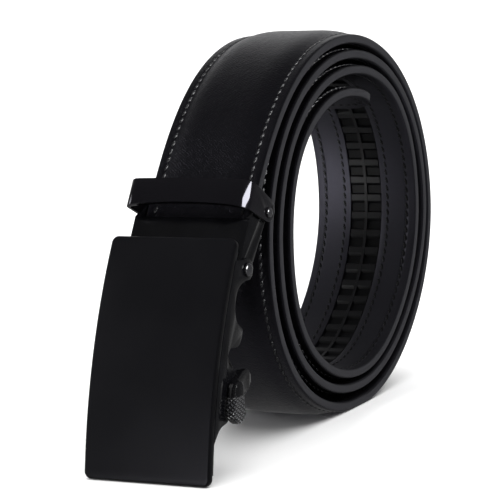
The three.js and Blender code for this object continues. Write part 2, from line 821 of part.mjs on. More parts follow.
// What stays with the clamp, drawn from the hinge axis
const clamp = new THREE.Group();
clamp.rotation.x = -radians(clampTilt);
clamp.position.z = hingeHeight;
clamp.add(part("strap_clamp", buildClamp(), blackSteel));
clamp.add(part("clamp_jaw", buildJaw(), blackSteel));
clamp.add(part("keeper_loop", buildLoop(), mattePaint));
for (const [name, side] of [["loop_rivet_left", -1], ["loop_rivet_right", 1]]) {
  const inside = flangeInner;
  const outside = armOuter + clearance;
  const rivet = part(name, pinAlongX({
    from: side > 0 ? inside : -outside,
    to: side > 0 ? outside : -inside,
    radius: rivetRadius,
    headRadius: rivetHeadRadius,
    headHeight: rivetHeadHeight,
    headAtStart: side < 0,
    headAtEnd: side > 0,
  }), blackSteel);
  rivet.position.set(0, loopPivot.behind, loopPivot.along);
  clamp.add(rivet);
}

const belt = new THREE.Group();
belt.add(part("strap", buildStrap(), leather));
belt.add(part("ratchet_track", buildTrack(), trackPlastic));
belt.add(clamp, buckle);

// The origin is the middle of the bottom of the whole belt's box
const ratchetBelt = new THREE.Group();
ratchetBelt.add(belt);
ratchetBelt.updateMatrixWorld(true);
const box = new THREE.Box3().setFromObject(ratchetBelt, true);
const middle = box.getCenter(new THREE.Vector3());
belt.position.set(-middle.x, -middle.y, -box.min.z);

export default ratchetBelt;
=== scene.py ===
"""Dresses the ratchet belt: leather, stitches, toothed track, and black buckle metal."""

from __future__ import annotations

import json
import logging
import math
from collections.abc import Callable, Sequence
from dataclasses import dataclass, field
from enum import Enum

import bpy
from mathutils import Matrix, Vector

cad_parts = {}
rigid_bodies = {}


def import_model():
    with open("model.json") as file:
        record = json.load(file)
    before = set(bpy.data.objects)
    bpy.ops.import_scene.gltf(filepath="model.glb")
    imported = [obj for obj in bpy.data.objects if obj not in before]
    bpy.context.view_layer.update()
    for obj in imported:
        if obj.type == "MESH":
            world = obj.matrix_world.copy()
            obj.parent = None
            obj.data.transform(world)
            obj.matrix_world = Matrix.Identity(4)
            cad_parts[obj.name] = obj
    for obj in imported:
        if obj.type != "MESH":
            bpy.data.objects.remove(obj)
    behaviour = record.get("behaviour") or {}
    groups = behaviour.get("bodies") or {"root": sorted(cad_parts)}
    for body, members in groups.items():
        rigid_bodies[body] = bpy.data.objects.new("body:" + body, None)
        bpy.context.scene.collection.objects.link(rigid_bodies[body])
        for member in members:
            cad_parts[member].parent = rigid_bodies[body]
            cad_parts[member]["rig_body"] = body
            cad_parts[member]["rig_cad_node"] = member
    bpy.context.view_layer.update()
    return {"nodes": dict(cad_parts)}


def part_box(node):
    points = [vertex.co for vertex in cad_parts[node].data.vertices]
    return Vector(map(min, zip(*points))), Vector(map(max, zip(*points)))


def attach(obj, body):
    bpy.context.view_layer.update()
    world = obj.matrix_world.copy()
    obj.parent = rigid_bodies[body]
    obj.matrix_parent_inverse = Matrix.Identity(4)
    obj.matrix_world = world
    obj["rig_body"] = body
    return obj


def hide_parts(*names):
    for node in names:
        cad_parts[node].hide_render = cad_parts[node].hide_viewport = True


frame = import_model()

log = logging.getLogger("ratchet_belt")

Piece = bpy.types.Object
Socket = bpy.types.NodeSocket
Colour = tuple[float, ...]

MM = 0.001
# places closer than these count as the same one
TINY = 0.001 * MM
NEAR = 0.01 * MM
ROW_WELD = 0.005 * MM
SIDE_VIEW = (math.pi / 2, 0.0, math.pi / 2)
FLAT_PLACE = "flat_place"
EIGHTHS = 8
EIGHTH_DEG = 45.0


class Body(Enum):
    """The rigid bodies that pieces ride on."""

    BELT = "belt"
    BUCKLE = "buckle"
    KEEPER_LOOP = "keeper_loop"
    RELEASE_LEVER = "release_lever"


class Slot(Enum):
    """The record's material slots."""

    LEATHER = "strap_leather"
    TRACK = "track_plastic"
    PAINT = "plate_paint"
    STEEL = "black_steel"


class StrapFace(Enum):
    """The two faces of the strap that carry stitches."""

    OUTER = "outer"
    INNER = "inner"


def deselect_all() -> None:
    """Leaves no object selected."""
    bpy.ops.object.select_all(action="DESELECT")


def activate(piece: Piece) -> None:
    """Makes one object the only selected and active one.

    Args:
        piece: the object to work on.
    """
    deselect_all()
    piece.select_set(True)
    bpy.context.view_layer.objects.active = piece


def open_selection(piece: Piece, items: Sequence[object], mode: tuple[bool, ...]) -> None:
    """Opens edit mode with only the given vertices, edges or faces selected.

    Args:
        piece: the active mesh object, in object mode.
        items: the vertices, edges or faces of its mesh to select.
        mode: the select mode, for vertices, edges and faces.
    """
    mesh = piece.data
    bpy.context.tool_settings.mesh_select_mode = mode
    for group in (mesh.vertices, mesh.edges, mesh.polygons):
        group.foreach_set("select", [False] * len(group))
    for item in items:
        item.select = True
    if not items:
        log.warning("%s: nothing selected", piece.name)
    bpy.ops.object.mode_set(mode="EDIT")


def select_faces(piece: Piece, wanted: Callable[[Vector, Vector], bool]) -> None:
    """Selects faces by their middle and normal and opens edit mode on them.

    Args:
        piece: the active mesh object, in object mode.
        wanted: tells from a face's centre and normal whether to take it.
    """
    faces = [face for face in piece.data.polygons if wanted(face.center, face.normal)]
    open_selection(piece, faces, (False, False, True))


def select_edges(piece: Piece, wanted: Callable[[Vector, Vector], bool]) -> None:
    """Selects edges by their two ends and opens edit mode on them.

    Args:
        piece: the active mesh object, in object mode.
        wanted: tells from an edge's two ends whether to take it.
    """
    points = [point.co.copy() for point in piece.data.vertices]
    edges = [edge for edge in piece.data.edges if wanted(*(points[i] for i in edge.vertices))]
    open_selection(piece, edges, (False, True, False))


def select_points(piece: Piece, wanted: Callable[[Vector], bool]) -> None:
    """Selects vertices by their place and opens edit mode on them.

    Args:
        piece: the active mesh object, in object mode.
        wanted: tells from a vertex's place whether to take it.
    """
    points = [point for point in piece.data.vertices if wanted(point.co)]
    open_selection(piece, points, (True, False, False))


def edit_all() -> None:
    """Opens edit mode on the active object with all of its mesh selected."""
    bpy.ops.object.mode_set(mode="EDIT")
    bpy.ops.mesh.select_all(action="SELECT")


def object_mode() -> None:
    """Goes back to object mode."""
    bpy.ops.object.mode_set(mode="OBJECT")


def settle() -> None:
    """Applies the selected object's place, turn and scale to its mesh."""
    bpy.ops.object.transform_apply(location=True, rotation=True, scale=True)


def extrude(x: float, y: float, z: float) -> None:
    """Draws the selected faces out by a step."""
    bpy.ops.mesh.extrude_region_move(TRANSFORM_OT_translate={"value": (x, y, z)})


def resize(x: float, y: float, z: float, centre: Sequence[float] = (0.0, 0.0, 0.0)) -> None:
    """Scales what is selected about a point."""
    bpy.ops.transform.resize(value=(x, y, z), center_override=centre)


def bevel_edges(piece: Piece, width: float, segments: int, wanted: Callable[[Vector, Vector], bool]) -> None:
    """Bevels some of a piece's edges.

    Args:
        piece: the active mesh object.
        width: the bevel's width, in metres.
        segments: how many faces it takes.
        wanted: tells from an edge's two ends whether to take it.
    """
    select_edges(piece, wanted)
    bpy.ops.mesh.bevel(offset=width, segments=segments, affect="EDGES")
    object_mode()


def move_points(piece: Piece, step: Sequence[float], wanted: Callable[[Vector], bool]) -> None:
    """Moves some of a piece's vertices.

    Args:
        piece: the active mesh object.
        step: how far they move, in metres.
        wanted: tells from a vertex's place whether to take it.
    """
    select_points(piece, wanted)
    bpy.ops.transform.translate(value=step)
    object_mode()


def delete_faces(piece: Piece, wanted: Callable[[Vector, Vector], bool]) -> None:
    """Deletes some of a piece's faces.

    Args:
        piece: the active mesh object.
        wanted: tells from a face's centre and normal whether to take it.
    """
    select_faces(piece, wanted)
    bpy.ops.mesh.delete(type="FACE")
    object_mode()


def close_ring(piece: Piece, wanted: Callable[[Vector, Vector], bool]) -> None:
    """Fills the hole inside a ring of edges with one face.

    Args:
        piece: the active mesh object.
        wanted: tells from an edge's two ends whether to take it.
    """
    select_edges(piece, wanted)
    bpy.ops.mesh.edge_face_add()
    object_mode()


def press_to_floor(piece: Piece) -> None:
    """Lifts what dips below the floor up to its level.

    Args:
        piece: the active mesh object.
    """
    select_points(piece, lambda point: point.z < 0)
    resize(1, 1, 0)
    object_mode()


def new_box(name: str, low: Sequence[float], high: Sequence[float]) -> Piece:
    """Adds a box between two corners, with its place in its mesh.

    Args:
        name: the object's name.
        low: its lowest corner, in metres.
        high: its highest corner, in metres.

    Returns:
        The box.
    """
    deselect_all()
    middle = [(a + b) / 2 for a, b in zip(low, high)]
    bpy.ops.mesh.primitive_cube_add(size=1, location=middle)
    piece = bpy.context.object
    piece.name = name
    piece.data.name = name
    piece.scale = [b - a for a, b in zip(low, high)]
    settle()
    return piece


def copy_of(piece: Piece) -> Piece:
    """Copies a piece with its mesh.

    Args:
        piece: the object to copy.

    Returns:
        The copy, linked to the scene.
    """
    made = piece.copy()
    made.data = piece.data.copy()
    bpy.context.scene.collection.objects.link(made)
    return made


def cut_across(piece: Piece, place: float, axis: int) -> None:
    """Cuts all faces of a piece by a plane square to one axis.

    Args:
        piece: not used; the cut is made on the active mesh object, in object mode.
        place: where the plane crosses the axis, in metres.
        axis: 0, 1 or 2 for X, Y or Z.
    """
    point, normal = [0.0, 0.0, 0.0], [0.0, 0.0, 0.0]
    point[axis], normal[axis] = place, 1.0
    edit_all()
    bpy.ops.mesh.bisect(plane_co=point, plane_no=normal)
    object_mode()


def apply_modifiers(piece: Piece) -> None:
    """Applies each modifier of a piece in turn.

    Args:
        piece: the object to finish.
    """
    activate(piece)
    for modifier in list(piece.modifiers):
        bpy.ops.object.modifier_apply(modifier=modifier.name)


def add_bevel(piece: Piece, width: float, segments: int, angle_deg: float) -> None:
    """Rounds a piece's sharp edges and applies it.

    Args:
        piece: the object to round.
        width: the bevel's width, in metres.
        segments: how many faces it takes.
        angle_deg: edges sharper than this are rounded.
    """
    bevel = piece.modifiers.new("soft_edges", "BEVEL")
    bevel.width = width
    bevel.segments = segments
    bevel.limit_method = "ANGLE"
    bevel.angle_limit = math.radians(angle_deg)
    bevel.use_clamp_overlap = True
    apply_modifiers(piece)


def repeat_along(piece: Piece, count: int, step: Sequence[float], weld: float = 0.0) -> None:
    """Repeats a piece's mesh in a row.

    Args:
        piece: the object to repeat.
        count: how many there are in all.
        step: from one to the next, in metres.
        weld: the distance under which touching ends are joined, 0 to leave them.
    """
    row = piece.modifiers.new("row", "ARRAY")
    row.count = count
    row.use_relative_offset = False
    row.use_constant_offset = True
    row.constant_offset_displace = step
    row.use_merge_vertices = weld > 0
    row.merge_threshold = weld
    apply_modifiers(piece)


def join_all(pieces: Sequence[Piece], name: str) -> Piece:
    """Joins several mesh objects into the first.

    Args:
        pieces: the objects to join.
        name: the joined object's name.

    Returns:
        The joined object.
    """
    activate(pieces[0])
    for piece in pieces[1:]:
        piece.select_set(True)
    bpy.ops.object.join()
    pieces[0].name = name
    pieces[0].data.name = name
    return pieces[0]


def mend_normals(piece: Piece, weld: float) -> None:
    """Merges a piece's doubles and turns its faces outwards.

    Args:
        piece: the object to mend.
        weld: the distance under which vertices are merged, in metres.
    """
    activate(piece)
    edit_all()
    bpy.ops.mesh.remove_doubles(threshold=weld)
    bpy.ops.mesh.normals_make_consistent(inside=False)
    object_mode()


def smooth(piece: Piece, angle_deg: float) -> None:
    """Shades a piece smooth but for its sharp edges.

    Args:
        piece: the object to shade.
        angle_deg: edges sharper than this stay crisp.
    """
    activate(piece)
    bpy.ops.object.shade_smooth_by_angle(angle=math.radians(angle_deg))


def dress(
    piece: Piece,
    finish: bpy.types.Material,
    body: Body,
    stands_for: Sequence[str] = (),
) -> None:
    """Gives a finished piece its material and body.

    Args:
        piece: the finished object.
        finish: its material.
        body: the body it rides on.
        stands_for: the CAD nodes that it takes the place of.
    """
    piece.data.materials.clear()
    piece.data.materials.append(finish)
    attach(piece, body.value)
    if stands_for:
        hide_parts(*stands_for)
    log.info("%s: %d faces", piece.name, len(piece.data.polygons))


def soften_node(node: str, width: float) -> Piece:
    """Copies a CAD node, cleans the copy's mesh and rounds its edges.

    Args:
        node: the CAD node's name.
        width: the rounding, in metres.

    Returns:
        The softened copy.
    """
    weld, flat_deg, sharp_deg, crisp_deg = 0.002 * MM, 0.6, 28.0, 40.0
    piece = copy_of(frame["nodes"][node])
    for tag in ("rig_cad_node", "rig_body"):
        if tag in piece:
            del piece[tag]
    piece.parent = None
    piece.name = node + "_softened"
    piece.data.name = piece.name
    activate(piece)
    edit_all()
    bpy.ops.mesh.remove_doubles(threshold=weld)
    bpy.ops.mesh.customdata_custom_splitnormals_clear()
    bpy.ops.mesh.dissolve_limited(angle_limit=math.radians(flat_deg))
    bpy.ops.mesh.normals_make_consistent(inside=False)
    object_mode()
    add_bevel(piece, width, segments=2, angle_deg=sharp_deg)
    smooth(piece, crisp_deg)
    return piece


class Nodes:
    """A node tree, with short ways to add and link its nodes."""

    def __init__(self, tree: bpy.types.NodeTree) -> None:
        """Takes up a material's or a world's tree."""
        self.tree = tree

    def node(self, kind: str, **settings: object) -> bpy.types.Node:
        """Adds a node and sets its properties.

        Args:
            kind: the node's type name.
            **settings: its properties.

        Returns:
            The node.
        """
        made = self.tree.nodes.new(kind)
        for key, value in settings.items():
            setattr(made, key, value)
        return made

    def link(self, source: Socket, target: Socket) -> None:
        """Links two sockets."""
        self.tree.links.new(source, target)

    def feed(self, target: Socket, value: object) -> None:
        """Links a socket to a target, or sets the target's own value.

        Args:
            target: the input socket.
            value: an output socket, or a plain value.
        """
        if isinstance(value, Socket):
            self.link(value, target)
        else:
            target.default_value = value

    def fill(self, node: bpy.types.Node, **values: object) -> bpy.types.NodeOutputs:
        """Sets or links a node's inputs.

        Args:
            node: the node.
            **values: input names, with _ for a space, and their values.

        Returns:
            The node's outputs.
        """
        for key, value in values.items():
            self.feed(node.inputs[key.replace("_", " ")], value)
        return node.outputs

    def math(self, operation: str, *values: object) -> Socket:
        """Adds a maths node.

        Args:
            operation: the node's operation.
            *values: its inputs, sockets or numbers.

        Returns:
            Its output.
        """
        made = self.node("ShaderNodeMath", operation=operation)
        for socket, value in zip(made.inputs, values):
            self.feed(socket, value)
        return made.outputs[0]

    def chain(self, operation: str, *values: object) -> Socket:
        """Runs one operation through several values in turn.

        Args:
            operation: the operation.
            *values: sockets or numbers, at least two.

        Returns:
            The last output.
        """
        result = values[0]
        for value in values[1:]:
            result = self.math(operation, result, value)
        return result

    def parts(self, place: Socket) -> list[Socket]:
        """Splits coordinates into their three numbers."""
        return list(self.fill(self.node("ShaderNodeSeparateXYZ"), Vector=place))

    def ramp(self, value: Socket, low: float, high: float, to_low: float = 0.0, to_high: float = 1.0,
             shape: str = "LINEAR") -> Socket:
        """Maps a value from one range to another, kept inside it.

        Args:
            value: the value to map.
            low: the start of its range.
            high: the end of its range.
            to_low: what the start becomes.
            to_high: what the end becomes.
            shape: the kind of slope between them.

        Returns:
            The mapped value.
        """
        made = self.node("ShaderNodeMapRange", clamp=True, interpolation_type=shape)
        numbers = {"From_Min": low, "From_Max": high, "To_Min": to_low, "To_Max": to_high}
        return self.fill(made, Value=value, **numbers)["Result"]

    def fade(self, value: Socket, ends: tuple[float, float]) -> Socket:
        """Slopes softly from 0 to 1 between two values."""
        return self.ramp(value, *ends, shape="SMOOTHSTEP")


class Graph(Nodes):
    """A material's node tree, with its textures and its shader."""

    def __init__(self, name: str) -> None:
        """Starts an empty material.

        Args:
            name: the material's name.
        """
        self.material = bpy.data.materials.new(name)
        self.material.use_nodes = True
        super().__init__(self.material.node_tree)
        self.shader = self.tree.nodes["Principled BSDF"]

    def object_place(self) -> Socket:
        """Returns the Object coordinates."""
        return self.node("ShaderNodeTexCoord").outputs["Object"]

    def flat_place(self) -> Socket:
        """Returns a strap piece's place before it was coiled."""
        return self.node("ShaderNodeAttribute", attribute_name=FLAT_PLACE).outputs["Vector"]

    def mapped(self, place: Socket, scale: Sequence[float] = (1.0, 1.0, 1.0),
               turn_deg: float = 0.0) -> Socket:
        """Scales coordinates, or turns them about Y.

        Args:
            place: the coordinates.
            scale: the factor on each axis.
            turn_deg: the turn about Y.

        Returns:
            The changed coordinates.
        """
        made = self.node("ShaderNodeMapping", vector_type="POINT")
        turn = (0.0, math.radians(turn_deg), 0.0)
        return self.fill(made, Vector=place, Scale=scale, Rotation=turn)[0]

    def noise(self, place: Socket, scale: float, detail: float = 3.0) -> Socket:
        """Adds a noise texture at a scale per metre, about 0.5 on average."""
        return self.fill(self.node("ShaderNodeTexNoise"), Vector=place, Scale=scale, Detail=detail)[0]

    def pores(self, place: Socket, scale: float) -> Socket:
        """Adds cells at a scale per metre, as the distance from each cell's point."""
        made = self.node("ShaderNodeTexVoronoi", feature="F1")
        return self.fill(made, Vector=place, Scale=scale)["Distance"]

    def bands(self, place: Socket, direction: str, scale: float, **numbers: float) -> Socket:
        """Adds bands that rise and fall.

        Args:
            place: their coordinates.
            direction: the way they follow each other.
            scale: their scale, per metre.
            **numbers: other inputs of the texture.

        Returns:
            Their value, 0 to 1.
        """
        made = self.node("ShaderNodeTexWave", wave_type="BANDS", bands_direction=direction)
        return self.fill(made, Vector=place, Scale=scale, **numbers)[1]

    def mix(self, share: object, first: object, second: object) -> Socket:
        """Blends two numbers, by the share of the second."""
        return self.fill(self.node("ShaderNodeMix", data_type="FLOAT"), Factor=share, A=first, B=second)[0]

    def blend(self, share: object, first: object, second: object) -> Socket:
        """Blends two colours.

        Args:
            share: how much of the second, a socket or a number.
            first: a colour or a socket.
            second: a colour or a socket.

        Returns:
            The blended colour.
        """
        made = self.node("ShaderNodeMix", data_type="RGBA")
        self.feed(made.inputs["Factor"], share)
        colours = [socket for socket in made.inputs if socket.type == "RGBA"]
        self.feed(colours[0], first)
        self.feed(colours[1], second)
        return next(socket for socket in made.outputs if socket.type == "RGBA")

    def bump(self, height: Socket, distance: float, strength: float = 1.0,
             under: Socket | None = None) -> Socket:
        """Adds a bump node.

        Args:
            height: the height, 0 to 1.
            distance: what a height of 1 stands for, in metres.
            strength: the bump's strength.
            under: the normal of a bump below this one.

        Returns:
            The bumped normal.
        """
        made = self.node("ShaderNodeBump")
        self.fill(made, Distance=distance, Strength=strength, Height=height)
        if under is not None:
            self.link(under, made.inputs["Normal"])
        return made.outputs[0]

    def finish(self, **values: object) -> bpy.types.Material:
        """Sets or links the shader's inputs and returns the material."""
        self.fill(self.shader, **values)
        return self.material


@dataclass(frozen=True)
class StrapLeather:
    """Black leather: a fine grain on the outer face, a smooth lining, painted edges."""

    half_width: float
    thickness: float
    seam_inset: float
    name: str = "strap_leather"
    outer: Colour = (0.0018, 0.0017, 0.0022, 1.0)
    worn: Colour = (0.0042, 0.0041, 0.0048, 1.0)
    lining: Colour = (0.0040, 0.0040, 0.0047, 1.0)
    lining_worn: Colour = (0.0080, 0.0078, 0.0088, 1.0)
    pressed: Colour = (0.004, 0.004, 0.005, 1.0)
    edge: Colour = (0.0260, 0.0262, 0.0290, 1.0)
    edge_worn: Colour = (0.0460, 0.0460, 0.0500, 1.0)
    cool: Colour = (0.82, 0.80, 1.0, 1.0)
    edge_below_face: tuple[float, float] = (0.35 * MM, 0.55 * MM)
    edge_inside: tuple[float, float] = (1.0 * MM, 0.8 * MM)
    lining_below: tuple[float, float] = (0.4 * MM, 0.2 * MM)
    ridge_turn_deg: float = 38.0
    ridge_scale: float = 430.0
    ridge_distortion: float = 7.0
    ridge_detail: float = 2.0
    ridge_detail_scale: float = 1.4
    ridge_height: tuple[float, ...] = (0.3, 0.7, 0.45, 1.0)
    wobble_scale: float = 700.0
    pore_scale: float = 1500.0
    pore_height: float = 0.7
    nap_scale: float = 1600.0
    nap_height: float = 0.55
    grain_bump: float = 0.075 * MM
    channel_fade: tuple[float, float] = (0.2 * MM, 0.75 * MM)
    channel_bump: float = 0.16 * MM
    wave_scale: float = 60.0
    wave_bump: float = 0.35 * MM
    wave_strength: float = 0.6
    mottle_scale: float = 90.0
    mottle_fade: tuple[float, float] = (0.35, 0.75)
    mottle_share: float = 0.35
    pressed_share: float = 0.5
    streak_scale: float = 260.0
    streak_stretch: tuple[float, ...] = (1.0, 9.0, 9.0)
    streak_fade: tuple[float, float] = (0.3, 0.7)
    streak_share: float = 0.5
    face_rough: tuple[float, ...] = (0.3, 1.6, 0.36, 0.55)
    edge_rough: tuple[float, ...] = (0.0, 1.0, 0.40, 0.52)
    face_sheen: float = 0.36
    lining_sheen: float = 0.66

    def zones(self, graph: Graph, depth: Socket, from_middle: Socket) -> tuple[Socket, Socket, Socket]:
        """Tells the strap's faces apart.

        Args:
            graph: the material's nodes.
            depth: the distance below the outer face.
            from_middle: the distance from the strap's middle line.

        Returns:
            How far a place is on the painted edge, how far on the lining, and how far outside the
            seam's channel.
        """
        start, full = self.edge_below_face
        below = graph.ramp(depth, start, full)
        above = graph.ramp(depth, self.thickness - start, self.thickness - full)
        start, full = self.edge_inside
        outside = graph.ramp(from_middle, self.half_width - start, self.half_width - full)
        start, full = self.lining_below
        on_lining = graph.ramp(depth, self.thickness - start, self.thickness - full)
        off_seam = graph.math("SUBTRACT", from_middle, self.half_width - self.seam_inset)
        beside_seam = graph.ramp(graph.math("ABSOLUTE", off_seam), *self.channel_fade)
        return graph.chain("MULTIPLY", below, above, outside), on_lining, beside_seam

    def grain(self, graph: Graph, place: Socket, wobble: Socket) -> Socket:
        """Makes the pressed grain: two crossing sets of fine ridges, broken up by noise, with pores.

        Args:
            graph: the material's nodes.
            place: the coordinates.
            wobble: the noise that breaks up the ridges.

        Returns:
            The grain's height.
        """
        ridges = [
            graph.bands(
                graph.mapped(place, turn_deg=turn), "X", self.ridge_scale, Distortion=self.ridge_distortion,
                Detail=self.ridge_detail, Detail_Scale=self.ridge_detail_scale,
            )
            for turn in (self.ridge_turn_deg, -self.ridge_turn_deg)
        ]
        crossed = graph.math("MAXIMUM", *ridges)
        ridged = graph.math("MULTIPLY", crossed, graph.ramp(wobble, *self.ridge_height))
        pores = graph.math("MULTIPLY", graph.pores(place, self.pore_scale), self.pore_height)
        return graph.math("ADD", ridged, pores)

    def build(self) -> bpy.types.Material:
        """Makes the leather's material.

        Returns:
            The material.
        """
        graph = Graph(self.name)
        place = graph.flat_place()
        _, depth, across = graph.parts(place)
        on_edge, on_lining, beside_seam = self.zones(graph, depth, graph.math("ABSOLUTE", across))
        wobble = graph.noise(place, self.wobble_scale, 2.0)
        nap = graph.math("MULTIPLY", graph.noise(place, self.nap_scale, 4.0), self.nap_height)
        surface = graph.mix(on_lining, self.grain(graph, place, wobble), nap)
        height = graph.math("MULTIPLY", surface, graph.math("SUBTRACT", 1.0, on_edge))
        wavy = graph.bump(graph.noise(place, self.wave_scale, 2.0), self.wave_bump, self.wave_strength)
        sewn = graph.bump(beside_seam, self.channel_bump, 1.0, wavy)

        mottle = graph.ramp(graph.noise(place, self.mottle_scale), *self.mottle_fade)
        faces = graph.blend(on_lining, self.outer, self.lining)
        worn = graph.blend(on_lining, self.worn, self.lining_worn)
        shaded = graph.blend(graph.math("MULTIPLY", mottle, self.mottle_share), faces, worn)
        in_channel = graph.math("MULTIPLY", graph.ramp(beside_seam, 1.0, 0.0), self.pressed_share)
        pressed = graph.blend(in_channel, shaded, self.pressed)
        stretched = graph.mapped(place, self.streak_stretch)
        streak = graph.ramp(graph.noise(stretched, self.streak_scale), *self.streak_fade)
        painted = graph.blend(graph.math("MULTIPLY", streak, self.streak_share), self.edge, self.edge_worn)
        rough_face = graph.ramp(graph.math("ADD", wobble, on_lining), *self.face_rough)
        return graph.finish(
            Base_Color=graph.blend(on_edge, pressed, painted),
            Roughness=graph.mix(on_edge, rough_face, graph.ramp(streak, *self.edge_rough)),
            Normal=graph.bump(height, self.grain_bump, 1.0, sewn),
            Specular_IOR_Level=graph.mix(on_lining, self.face_sheen, self.lining_sheen),
            Specular_Tint=self.cool,
        )


@dataclass(frozen=True)
class WaxedThread:
    """Black waxed thread with a twisted lay; the lighter colour on each twist crest is a painted highlight.
    """

    name: str = "waxed_thread"
    dark: Colour = (0.002, 0.002, 0.0024, 1.0)
    # painted highlight: the colour laid on the crest of each twist band
    light: Colour = (0.008, 0.008, 0.009, 1.0)
    twist_scale: float = 900.0
    twist_bump: float = 0.05 * MM
    rough: tuple[float, ...] = (0.0, 1.0, 0.38, 0.22)
    specular: float = 0.26

    def build(self) -> bpy.types.Material:
        """Makes the thread's material.

        Returns:
            The material.
        """
        graph = Graph(self.name)
        twist = graph.bands(graph.flat_place(), "DIAGONAL", self.twist_scale)
        # the twist bands blend to the light colour on their crests, a painted highlight along the strands
        return graph.finish(
            Base_Color=graph.blend(twist, self.dark, self.light),
            Roughness=graph.ramp(twist, *self.rough),
            Normal=graph.bump(twist, self.twist_bump),
            Specular_IOR_Level=self.specular,
        )


@dataclass(frozen=True)
class TrackPlastic:
    """Satin black moulded plastic, painted lighter in patches on the tops of the teeth as painted light,
    which leaves painted shade in the darker roots between them.
    """

    root: float
    top: float
    name: str = "track_plastic"
    dark: Colour = (0.0022, 0.0022, 0.0026, 1.0)
    # painted light on the tooth tops; the dark colour left in the roots is painted shade
    lit_tops: Colour = (0.0055, 0.0055, 0.0062, 1.0)
    above_root: float = 0.1 * MM
    below_top: float = 0.05 * MM
    grain_scale: float = 1800.0
    grain_bump: float = 0.02 * MM
    grain_strength: float = 0.7
    lit_tops_patches: tuple[float, ...] = (0.3, 0.7, 0.5, 1.0)
    rough: tuple[float, ...] = (0.3, 0.7, 0.34, 0.48)
    specular: tuple[float, ...] = (0.0, 1.0, 0.12, 0.24)

    def build(self) -> bpy.types.Material:
        """Makes the plastic's material.

        Returns:
            The material.
        """
        graph = Graph(self.name)
        place = graph.flat_place()
        _, depth, _ = graph.parts(place)
        high = graph.ramp(depth, self.root + self.above_root, self.top - self.below_top)
        grain = graph.noise(place, self.grain_scale)
        # lighter in patches on the tooth tops, darker in the roots: painted light and painted shade that
        # follow the teeth's height
        lit_tops = graph.math("MULTIPLY", high, graph.ramp(grain, *self.lit_tops_patches))
        return graph.finish(
            Base_Color=graph.blend(lit_tops, self.dark, self.lit_tops),
            Roughness=graph.ramp(grain, *self.rough),
            Normal=graph.bump(grain, self.grain_bump, self.grain_strength),
            Specular_IOR_Level=graph.ramp(high, *self.specular),
        )


@dataclass(frozen=True)
class BlackPaint:
    """Even black paint on metal with a barely visible orange peel."""

    name: str
    base: Colour
    speck: Colour
    rough_low: float
    rough_high: float
    specular: float
    cool: Colour = (0.90, 0.89, 1.0, 1.0)
    peel_scale: float = 1400.0
    peel_bump: float = 0.004 * MM
    cloud_scale: float = 45.0
    cloud_fade: tuple[float, float] = (0.3, 0.7)
    speck_share: float = 0.6

    def build(self) -> bpy.types.Material:
        """Makes the paint's material.

        Returns:
            The material.
        """
        graph = Graph(self.name)
        place = graph.object_place()
        cloud = graph.noise(place, self.cloud_scale)
        specks = graph.ramp(cloud, *self.cloud_fade, 0.0, self.speck_share)
        return graph.finish(
            Base_Color=graph.blend(specks, self.base, self.speck),
            Roughness=graph.ramp(cloud, *self.cloud_fade, self.rough_low, self.rough_high),
            Normal=graph.bump(graph.noise(place, self.peel_scale, 2.0), self.peel_bump),
            Specular_IOR_Level=self.specular,
            Specular_Tint=self.cool,
        )


@dataclass(frozen=True)
class BlackSteel:
    """Black enamelled steel, smooth, with a few faint rubbing marks."""

    name: str
    dark: Colour
    light: Colour
    rough_low: float
    rough_high: float
    specular: float
    mark_scale: float = 240.0
    mark_fade: tuple[float, float] = (0.3, 0.7)
    cloud_scale: float = 160.0
    cloud_fade: tuple[float, float] = (0.35, 0.75)
    ripple_scale: float = 900.0
    ripple_bump: float = 0.003 * MM
    ripple_strength: float = 0.7

    def build(self) -> bpy.types.Material:
        """Makes the steel's material.

        Returns:
            The material.
        """
        graph = Graph(self.name)
        place = graph.object_place()
        marks = graph.noise(place, self.mark_scale)
        cloud = graph.noise(place, self.cloud_scale)
        ripple = graph.noise(place, self.ripple_scale, 2.0)
        return graph.finish(
            Base_Color=graph.blend(graph.ramp(cloud, *self.cloud_fade), self.dark, self.light),
            Roughness=graph.ramp(marks, *self.mark_fade, self.rough_low, self.rough_high),
            Normal=graph.bump(ripple, self.ripple_bump, self.ripple_strength),
            Specular_IOR_Level=self.specular,
        )


@dataclass(frozen=True)
class KnurledSteel:
    """Blackened steel with a diamond knurl where the thumb presses, each knob's top painted lighter as a
    painted highlight.
    """

    top: float
    name: str = "knurled_steel"
    pitch: float = 1.75 * MM
    rise: float = 1.35
    fade: float = 0.8 * MM
    dark: Colour = (0.0010, 0.0010, 0.0012, 1.0)
    # painted highlight on the top of each knob of the knurl
    light: Colour = (0.0150, 0.0150, 0.0165, 1.0)
    knob_bump: float = 0.75 * MM
    fine_scale: float = 900.0
    fine_bump: float = 0.006 * MM
    rough: tuple[float, ...] = (0.3, 0.7, 0.12, 0.20)
    specular: float = 0.3

    def build(self) -> bpy.types.Material:
        """Makes the knurled material.

        Returns:
            The material.
        """
        graph = Graph(self.name)
        place = graph.object_place()
        side, behind, up = graph.parts(place)
        round_pad = graph.math("ADD", side, behind)
        waves = []
        for sign in (1.0, -1.0):
            slant = graph.math("ADD", round_pad, graph.math("MULTIPLY", up, sign * self.rise))
            wave = graph.math("SINE", graph.math("MULTIPLY", slant, math.pi / self.pitch))
            waves.append(graph.math("ABSOLUTE", wave))
        below = graph.ramp(up, self.top, self.top - self.fade)
        knobs = graph.math("MULTIPLY", graph.math("MINIMUM", *waves), below)
        fine = graph.noise(place, self.fine_scale)
        # the knobs' tops blend to the light colour: a painted highlight on each knob
        return graph.finish(
            Base_Color=graph.blend(knobs, self.dark, self.light),
            Roughness=graph.ramp(fine, *self.rough),
            Normal=graph.bump(knobs, self.knob_bump, 1.0, graph.bump(fine, self.fine_bump)),
            Specular_IOR_Level=self.specular,
        )


